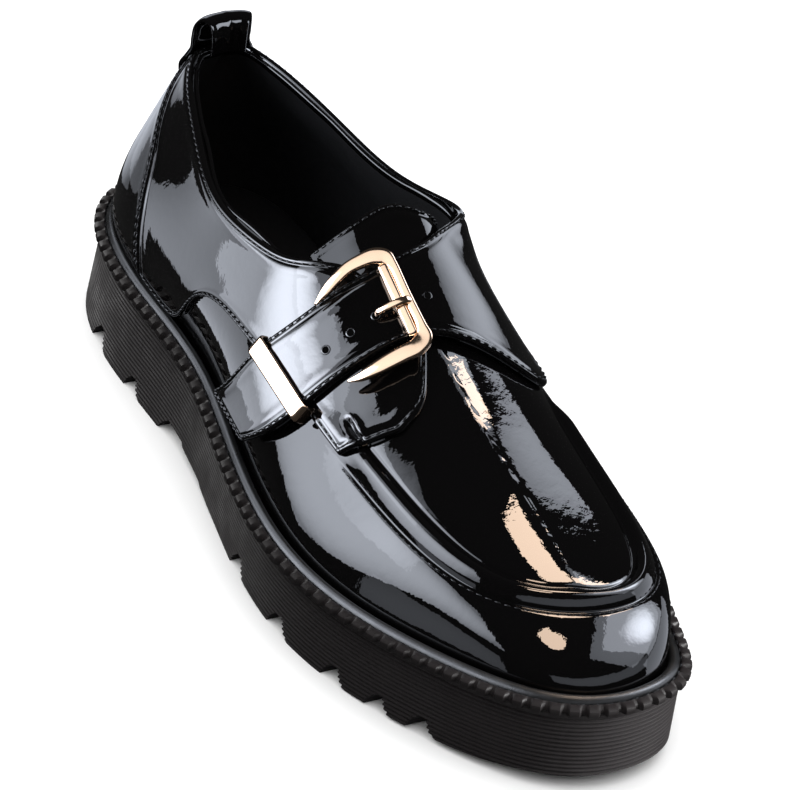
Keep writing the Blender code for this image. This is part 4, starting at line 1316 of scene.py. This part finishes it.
# %% Insole
INSOLE_COLUMNS = 160
insole_turns = np.arange(INSOLE_COLUMNS) * 2 / INSOLE_COLUMNS
insole_rows = []
for inset, rise in ((10.7, 0.2), (10.3, 1.4), (10.6, 2.5), (11.6, 3.0), (16.0, 2.9), (24.0, 2.6)):
    points, _ = outline(insole_turns, inset)
    insole_rows.append(np.column_stack([points, welt_height(points[:, 1]) + rise]))
insole_rows = np.array(insole_rows)
faces = grid_faces(len(insole_rows), INSOLE_COLUMNS, True) + capped(len(insole_rows), INSOLE_COLUMNS)
make_piece("padded_insole", insole_rows.reshape(-1, 3), faces, lining, "lining", "insole")

# %% [markdown]
# ## Buckle
# The buckle is a cast horseshoe whose arms thin out to points, with a flat inner bar beside its crossbar
# and a short prong over both. It is drawn in its own plane, which leans with the instep: across points down
# to the outer side, along points to the toe. The plane itself is bent a little, as the strap under it is.

# %% Plane of the buckle
BUCKLE_MIDDLE = np.array([-8.87, -21.28, 85.94])
BUCKLE_ALONG = np.array([0.0126, -0.868, -0.4963])
BUCKLE_ACROSS = np.array([-0.886, 0.2204, -0.4079])
BUCKLE_UP = np.cross(BUCKLE_ACROSS, BUCKLE_ALONG)
BUCKLE_UP /= np.linalg.norm(BUCKLE_UP)
BUCKLE_BEND = 1.8
BEND_MIDDLE = 9
BEND_REACH = 12


def in_buckle(across, along, rise):
    bent = rise + BUCKLE_BEND / 2 - BUCKLE_BEND * ((across - BEND_MIDDLE) / BEND_REACH) ** 2
    offsets = np.outer(across, BUCKLE_ACROSS) + np.outer(along, BUCKLE_ALONG) + np.outer(bent, BUCKLE_UP)
    return BUCKLE_MIDDLE + offsets


print("the buckle faces", BUCKLE_UP.round(2))

# %% [markdown]
# A bar with a rounded flat section, swept along a line, makes every metal piece, because such castings have
# soft flat faces. A bevelled curve could do it too, but its width could not change along the way by a
# table.

# %% Metal bars
SECTION_SIDES = 24
SMALLEST = 0.3


def smooth_path(points, count):
    steps = np.linalg.norm(np.diff(points[:, :3], axis=0), axis=1)
    travelled = np.append(0, np.cumsum(np.sqrt(steps)))
    keyed = [(travelled[i], *points[i]) for i in range(len(points))]
    where = np.linspace(0, travelled[-1], count)
    return np.column_stack([table_curve(keyed, i + 1, where, False) for i in range(points.shape[1])])


def flat_bar(path, up, widths, heights, power=3.0):
    along = np.gradient(path, axis=0)
    along /= np.linalg.norm(along, axis=1)[:, None]
    side = np.cross(along, up)
    side /= np.linalg.norm(side, axis=1)[:, None]
    top = np.cross(side, along)
    angles = np.arange(SECTION_SIDES) * 2 * math.pi / SECTION_SIDES
    cosine, sine = np.cos(angles), np.sin(angles)
    round_x = np.sign(cosine) * np.abs(cosine) ** (2 / power)
    round_y = np.sign(sine) * np.abs(sine) ** (2 / power)
    points = (
        path[:, None]
        + side[:, None] * (round_x[None, :, None] * widths[:, None, None] / 2)
        + top[:, None] * (round_y[None, :, None] * heights[:, None, None] / 2)
    )
    last = (len(path) - 1) * SECTION_SIDES
    faces = [face[::-1] for face in grid_faces(len(path), SECTION_SIDES, True)]
    faces.append(list(range(SECTION_SIDES)))
    faces.append(list(range(last + SECTION_SIDES - 1, last - 1, -1)))
    return points.reshape(-1, 3), faces


print("a bar's section has", SECTION_SIDES, "points")

# %% [markdown]
# The bow is widest at its two corners and ends in two points that lie on the strap. Its rows were measured
# along the middle of the metal, so the line and the width can be mended apart from each other.

# %% Buckle bow
BUCKLE_FULLNESS = 1.15
# Across, along, width and height of the bar.
BUCKLE_ROWS = [
    (21.0, -7.0, 0.6, 0.6),
    (17.3, -9.0, 2.2, 1.7),
    (13.5, -11.0, 2.8, 2.2),
    (9.5, -12.7, 3.1, 2.4),
    (5.3, -13.4, 3.5, 2.5),
    (1.5, -13.6, 4.2, 2.6),
    (-1.2, -12.4, 4.2, 2.6),
    (-2.4, -9.8, 2.8, 2.6),
    (-3.0, 0.0, 2.6, 2.6),
    (-3.7, 9.8, 2.8, 2.6),
    (-3.2, 13.0, 4.4, 2.6),
    (-0.5, 15.2, 4.4, 2.6),
    (3.5, 15.9, 4.2, 2.5),
    (8.0, 16.6, 3.8, 2.4),
    (12.5, 17.2, 3.2, 2.2),
    (16.5, 17.5, 2.2, 1.7),
    (20.3, 17.0, 0.6, 0.6),
]
table = np.array(BUCKLE_ROWS)
smooth = smooth_path(np.column_stack([in_buckle(table[:, 0], table[:, 1], 0 * table[:, 0]), table]), 150)
widths = np.maximum(smooth[:, 5], SMALLEST) * BUCKLE_FULLNESS
heights = np.maximum(smooth[:, 6], SMALLEST)
points, faces = flat_bar(smooth[:, :3], BUCKLE_UP, widths, heights, 3.5)
make_piece("buckle_bow", points, faces, gold, "gold_metal", "buckle_frame")

# %% [markdown]
# The flat inner bar lies beside the bow's crossbar, and the strap is pulled through between them. The prong
# is bent over both and goes down into a hole of the strap. They are pieces of their own, because they move
# on the real buckle.

# %% Inner bar and prong
INNER_BAR = [(0.2, -10.5), (-0.8, 11.5)]
# Across, along, rise, thickness.
PRONG_ROWS = [
    (6.6, 2.6, -0.6, 1.0),
    (5.9, 2.5, 0.6, 1.7),
    (4.0, 2.3, 1.4, 2.0),
    (1.5, 2.1, 2.0, 2.1),
    (-1.0, 1.9, 2.1, 2.1),
    (-2.6, 1.7, 1.6, 2.1),
    (-3.6, 1.6, 0.4, 2.0),
]
bar_shares = np.array([-0.01, 0.0, 0.03, 0.5, 0.97, 1.0, 1.01])
bar_sizes = np.array([1.2, 2.5, 2.9, 2.9, 2.9, 2.5, 1.2])
(across_0, along_0), (across_1, along_1) = INNER_BAR
bar_across = across_0 + (across_1 - across_0) * bar_shares
bar_along = along_0 + (along_1 - along_0) * bar_shares
path = in_buckle(bar_across, bar_along, np.full(len(bar_shares), -0.3))
points, faces = flat_bar(path, BUCKLE_UP, bar_sizes, bar_sizes * 0.9, 3.5)
make_piece("buckle_inner_bar", points, faces, gold, "gold_metal", "buckle_roller")

table = np.array(PRONG_ROWS)
smooth = smooth_path(np.column_stack([in_buckle(*table[:, :3].T), table[:, 3]]), 40)
points, faces = flat_bar(smooth[:, :3], BUCKLE_UP, smooth[:, 3], smooth[:, 3] * 0.8)
make_piece("buckle_pin", points, faces, gold, "gold_metal", "buckle_prong")

# %% [markdown]
# ## Keeper
# The keeper is a strip of the same metal bent round the strap. Only its straight front shows, with both
# ends turned down beside the strap. A bevelled box could stand in for it, but the same swept bar gives it
# the soft bend at its ends.

# %% Keeper
KEEPER_ENDS = ((138.7, -0.885), (164.7, -0.975))
KEEPER_LIFT = 6.2
KEEPER_WIDTH = 5.8
KEEPER_WALL = 1.1
# Distance from the nearer end along the bar, drop below its face.
KEEPER_BEND = [(-0.9, 3.4), (-0.9, 2.2), (-0.8, 1.2), (-0.45, 0.45), (0.2, 0.1), (1.2, 0.0), (6.0, 0.0)]
ends = over_instep(*np.transpose([(*end, KEEPER_LIFT) for end in KEEPER_ENDS]))
length = np.linalg.norm(ends[1] - ends[0])
keeper_along = (ends[1] - ends[0]) / length
keeper_up = face_direction(turn_of(151.0), 1.07)[0]
keeper_up -= keeper_along * (keeper_up @ keeper_along)
keeper_up /= np.linalg.norm(keeper_up)
bend = KEEPER_BEND + [(length - past, drop) for past, drop in reversed(KEEPER_BEND)]
path = np.array([ends[0] + keeper_along * past - keeper_up * drop for past, drop in bend])
smooth = smooth_path(path, 80)
beside = np.cross(keeper_up, keeper_along)
facing = np.cross(np.gradient(smooth, axis=0), beside)
count = len(smooth)
points, faces = flat_bar(smooth, facing, np.full(count, KEEPER_WIDTH), np.full(count, KEEPER_WALL), 5.0)
make_piece("keeper_band", points, faces, gold, "gold_metal", "keeper")

# %% [markdown]
# ## Punched holes
# The strap has a row of punched holes. Their shadow is painted: a flat black disc with a low rim of leather
# round it reads as a hole at this size, and it keeps the strap's mesh in one regular grid.

# %% Strap holes with painted shade
# Place along the strap, counted in its rows, and share of its width from the lower edge.
HOLE_PLACES = [(4.8, 0.39), (5.5, 0.405), (6.35, 0.42), (7.8, 0.445)]
HOLE_RADIUS = 1.0
HOLE_SIDES = 20
# Share of the radius, rise over the strap.
RIM_SECTION = [(1.5, -0.05), (1.3, 0.1), (1.12, 0.16), (1.0, 0.12), (0.97, 0.0)]
shade_disc_points, shade_disc_faces, rim_points, rim_faces = [], [], [], []
for place, height in HOLE_PLACES:
    column = np.abs(strap_where - place).argmin()
    row = np.abs(flap_shares - height).argmin()
    centre, up = strap_outer[row, column], strap_up[row, column]
    side = np.cross(up, (0, 0, 1.0))
    side /= np.linalg.norm(side)
    other = np.cross(up, side)
    angles = np.arange(HOLE_SIDES) * 2 * math.pi / HOLE_SIDES
    spokes = np.outer(np.cos(angles), side) + np.outer(np.sin(angles), other)
    shade_disc_faces += grid_faces(2, HOLE_SIDES, True, len(shade_disc_points))
    shade_disc_points += list(centre + spokes * HOLE_RADIUS + up * 0.06) + list(centre + spokes * 0.02 + up * 0.04)
    rim_faces += grid_faces(len(RIM_SECTION), HOLE_SIDES, True, len(rim_points))
    for radius, rise in RIM_SECTION:
        rim_points += list(centre + spokes * HOLE_RADIUS * radius + up * rise)
# Each disc is painted shade: a flat black sheet laid where the inside of the hole would be dark.
make_piece("hole_shade_discs", shade_disc_points, shade_disc_faces, hole_shade_paint, "lining")
make_piece("hole_rims", rim_points, rim_faces, patent, "patent_leather")

# %% [markdown]
# ## Thread
# All the rows of stitches that were collected on the way become one piece. Hundreds of objects would look
# the same, but one mesh is quicker to draw and easier to hand on.

# %% Sew everything
make_piece("stitches", stitch_points, stitch_faces, thread, "patent_leather")
print("stitches:", stitch_count())

# %% [markdown]
# ## Floor
# The shoe stands on a plain pale floor, which only carries its shadow. A curved backdrop would show in the
# leather, and a flat sheet that glossy rays don't see keeps the blacks deep.

# %% Floor
FLOOR_HALF = 3
corners = [(x * FLOOR_HALF, y * FLOOR_HALF, 0) for x, y in ((-1, -1), (1, -1), (1, 1), (-1, 1))]
floor_mesh = bpy.data.meshes.new("floor")
floor_mesh.from_pydata(corners, [], [(0, 1, 2, 3)])
floor = bpy.data.objects.new("floor", floor_mesh)
bpy.context.scene.collection.objects.link(floor)
floor_paint = new_finish("pale_floor", (0.9, 0.9, 0.9), 0.9)
floor_mesh.materials.append(floor_paint)
floor.visible_glossy = False
print("floor:", 2 * FLOOR_HALF, "m wide")

# %% [markdown]
# ## Lights
# Polished leather shows its lights more than its own colour, so the lights are chosen by what each piece
# mirrors. A long soft box leans on the left, smaller cards stand on the right and over the toe, and a few
# warm ones hang above. Photographers keep a card off one part of a product with black flags; here each
# panel has a list of the pieces it may reach, which does the same.

# %% Far panels
COOL = (0.84, 0.89, 1.0)
WARM = (1.0, 0.75, 0.57)
WHITE = (1.0, 1.0, 1.0)
QUARTERS = ["outer_quarter", "inner_quarter_and_strap", "hole_rims", "stitches"]
HEEL = ["counter_leather", "loop_strip"]
VAMP = ["upper_leather", "welt_bead", "upper_lining", "padded_insole"]
METAL = ["buckle_bow", "buckle_inner_bar", "buckle_pin", "keeper_band"]
TONGUE = ["tongue_leather"]
SOLE = ["sole_unit", "cogged_band"]
# Panel: azimuth and height in degrees, width and height in metres, roll, brightness, fall-off, colour, reach.
PANELS = {
    "left_box": (-71, 23, 1.8, 0.9, 34, 9.0, 0.7, COOL, VAMP + METAL),
    "left_high_box": (-64, 43, 0.4, 0.95, 14, 3.5, 0.6, COOL, VAMP),
    "long_box": (-75, 11, 2.35, 1.05, 32, 21.0, 0.88, COOL, QUARTERS),
    "long_high_box": (-73, 39, 0.6, 1.1, 41, 5.5, 0.35, COOL, QUARTERS),
    "long_low_box": (-49, -8, 1.4, 0.52, 38, 2.4, 0.5, COOL, QUARTERS),
    "heel_card": (18, -16, 1.2, 0.4, 0, 1.6, 0.8, COOL, QUARTERS + HEEL),
    "counter_card": (-20, -10, 1.5, 0.45, 0, 0.5, 0.2, COOL, ["counter_leather"]),
    "back_card": (15, 24, 1.5, 0.5, 0, 2.5, 0.6, COOL, HEEL),
    "loop_card": (150, 14, 1.9, 0.4, -20, 9.0, 0.3, COOL, ["loop_strip"]),
    "bead_card": (-25, 42, 1.0, 0.8, 0, 3.5, 0.3, COOL, ["welt_bead"]),
    "tongue_card": (-93, 32, 1.7, 1.7, 0, 4.0, 0.4, COOL, TONGUE),
    "tongue_side_card": (88, 12, 0.5, 0.5, 0, 5.0, 0.4, COOL, TONGUE),
    "flap_box": (82, 22, 0.9, 1.0, 6, 5.0, 0.85, COOL, QUARTERS + METAL),
    "flap_edge_card": (110, 41, 0.6, 0.26, -36, 9.0, 0.3, COOL, QUARTERS),
    "toe_box": (107, 43, 0.56, 0.95, 0, 20.0, 0.8, COOL, VAMP),
    "toe_wide_card": (116, 48, 0.8, 0.9, 0, 2.8, 0.2, COOL, VAMP),
    "toe_low_card": (106, 3, 0.9, 0.75, 0, 2.4, 0.1, COOL, VAMP),
    "front_card": (170, 26, 2.4, 0.42, 0, 1.1, 0.2, COOL, VAMP),
    "front_left_card": (-94, -8, 0.8, 0.55, 0, 1.1, 0.2, COOL, VAMP),
    "warm_high_patch": (87.4, 59.8, 0.076, 0.247, 13, 21.0, 0.0, WARM, VAMP),
    "metal_card": (-122, 56, 1.7, 1.5, 0, 1.3, 0.4, WHITE, METAL),
    "sole_box": (132, 20, 0.6, 0.6, 0, 32.0, 0.0, WHITE, SOLE),
    "sole_heel_box": (-10, 15, 0.6, 0.6, 0, 8.0, 0.0, WHITE, SOLE),
}
print("far panels:", len(PANELS))

# %% [markdown]
# A far panel's reflection slides over a large part of a curved face. To keep a patch of light small and in
# its place on the apron, a small panel hangs close over that spot, as a photographer would hold a card near
# it. Two of them are round, because their patches have round ends.

# %% Near panels
# As for a far panel, then the point it hangs over and how far off it hangs, in metres.
NEAR_PANELS = {
    "apron_box": (68.8, 40.6, 0.0305, 0.1622, 4.6, 5.2, 0.4, COOL, VAMP, (0.0050, -0.0619, 0.0657), 0.30),
    "rear_card": (-26.5, -28.5, 0.068, 0.113, -54, 2.0, 0.0, COOL, VAMP, (-0.0407, 0.0313, 0.0718), 0.20),
    "warm_low_patch": (61.7, 71.0, 0.035, 0.042, 77, 21.0, 0.0, WARM, VAMP, (0.0028, -0.0995, 0.0500), 0.15),
    "warm_toe_patch": (
        162.1, 84.3, 0.0535, 0.0884, -70, 18.0, 0.0, WARM, VAMP, (-0.0085, -0.1237, 0.0385), 0.30
    ),
}
ROUND = ["apron_box", "warm_toe_patch"]
print("near panels:", len(NEAR_PANELS))

# %% [markdown]
# A soft box is brightest in its middle. A ramp over the light's own surface dims it towards the rim, so
# that its reflection fades out as it does on real leather. Two large boxes fade sooner than the others.

# %% Soft light
SOFT_REACH = 0.375
SOFTER = {"long_box": 0.12, "toe_box": 0.12}


def soften(light, fall):
    light.use_nodes = True
    nodes, links = light.node_tree.nodes, light.node_tree.links
    surface = nodes.new("ShaderNodeNewGeometry")
    centred = nodes.new("ShaderNodeVectorMath")
    centred.operation = "SUBTRACT"
    centred.inputs[1].default_value = (0.5, 0.5, 0.0)
    square = nodes.new("ShaderNodeVectorMath")
    square.operation = "DOT_PRODUCT"
    fade = nodes.new("ShaderNodeMapRange")
    fade.inputs["From Max"].default_value = SOFTER.get(light.name, SOFT_REACH)
    fade.inputs["To Min"].default_value = 1.0
    fade.inputs["To Max"].default_value = 1.0 - fall
    links.new(surface.outputs["Parametric"], centred.inputs[0])
    links.new(centred.outputs["Vector"], square.inputs[0])
    links.new(centred.outputs["Vector"], square.inputs[1])
    links.new(square.outputs["Value"], fade.inputs["Value"])
    links.new(fade.outputs["Result"], nodes["Emission"].inputs["Strength"])


print("boxes that fade sooner:", list(SOFTER))

# %% [markdown]
# A panel is placed by its direction from the shoe and turned to face it. Its power follows from its
# brightness and its area, so a panel can be resized without changing how bright its reflection is. The
# panels only make reflections, apart from the two for the sole, which also light its dull rubber.

# %% One panel
SHOE_MIDDLE = Vector((0, 0, 0.05))
BOX_DISTANCE = 1.2
scene = bpy.context.scene


def add_panel(name, azimuth, height, width, tall, roll, brightness, fall, color, reach=None,
              over=SHOE_MIDDLE, distance=BOX_DISTANCE):
    light = bpy.data.lights.new(name, "AREA")
    light.shape = "ELLIPSE" if name in ROUND else "RECTANGLE"
    light.size, light.size_y = width, tall
    light.energy = brightness * width * tall * math.pi * (math.pi / 4 if name in ROUND else 1)
    light.color = color
    soften(light, fall)
    panel = bpy.data.objects.new(name, light)
    azimuth, height = math.radians(azimuth), math.radians(height)
    flat = math.cos(height)
    outward = Vector((math.sin(azimuth) * flat, math.cos(azimuth) * flat, math.sin(height)))
    facing = outward.to_track_quat("Z", "Y").to_matrix()
    turned = facing @ Matrix.Rotation(math.radians(roll), 3, "Z")
    panel.matrix_world = Matrix.Translation(Vector(over) + distance * outward) @ turned.to_4x4()
    panel.visible_camera = False
    scene.collection.objects.link(panel)
    if reach:
        panel.visible_diffuse = reach is SOLE
        reached = bpy.data.collections.new(name + "_reach")
        for piece in reach:
            reached.objects.link(bpy.data.objects[piece])
        panel.light_linking.receiver_collection = reached
    return panel


for name, settings in (PANELS | NEAR_PANELS).items():
    add_panel(name, *settings)
print("panels hung:", len(PANELS) + len(NEAR_PANELS))

# %% [markdown]
# One large soft panel overhead lights the dull pieces and the floor. Glossy rays don't see it, because it
# would turn the whole apron white. The world is nearly dark for the same reason, and white only where the
# camera looks past the floor.

# %% Overhead light and world
WORLD_GLOW = 0.03
fill = add_panel("overhead_fill", 0, 89, 3.6, 3.6, 0, 2.6, 0.0, WHITE)
fill.visible_glossy = False
scene.view_settings.view_transform = "Standard"
world = bpy.data.worlds.new("studio")
scene.world = world
world.use_nodes = True
nodes, links = world.node_tree.nodes, world.node_tree.links
nodes["Background"].inputs["Color"].default_value = (1, 1, 1, 1)
paths = nodes.new("ShaderNodeLightPath")
glow = nodes.new("ShaderNodeMapRange")
glow.inputs["To Min"].default_value = WORLD_GLOW
glow.inputs["To Max"].default_value = 1.0
links.new(paths.outputs["Is Camera Ray"], glow.inputs["Value"])
links.new(glow.outputs["Result"], nodes["Background"].inputs["Strength"])
print("world glow:", WORLD_GLOW)

# %% [markdown]
# ## Camera
# The camera looks from the photograph's side with a long lens, and it is rolled a little, as the shoe
# stands aslant in the photograph. A tracking constraint could aim it, but it can't roll, so the three
# directions of the camera are worked out and set at once.

# %% Camera
CAMERA_PLACE = Vector((-0.5700, -0.9324, 0.7677))
CAMERA_AIM = Vector((0.0099, 0.0021, 0.0350))
CAMERA_ROLL = math.radians(8.37)
lens = bpy.data.cameras.new("camera")
lens.lens = 213.4
lens.sensor_width = 36.0
camera = bpy.data.objects.new("camera", lens)
backward = (CAMERA_PLACE - CAMERA_AIM).normalized()
right = Vector((0, 0, 1)).cross(backward).normalized()
upright = backward.cross(right)
turned_right = math.cos(CAMERA_ROLL) * right + math.sin(CAMERA_ROLL) * upright
turned_up = -math.sin(CAMERA_ROLL) * right + math.cos(CAMERA_ROLL) * upright
camera.matrix_world = Matrix((turned_right, turned_up, backward)).transposed().to_4x4()
camera.location = CAMERA_PLACE
scene.collection.objects.link(camera)
scene.camera = camera
print("camera:", round((CAMERA_PLACE - CAMERA_AIM).length, 3), "m from the shoe")
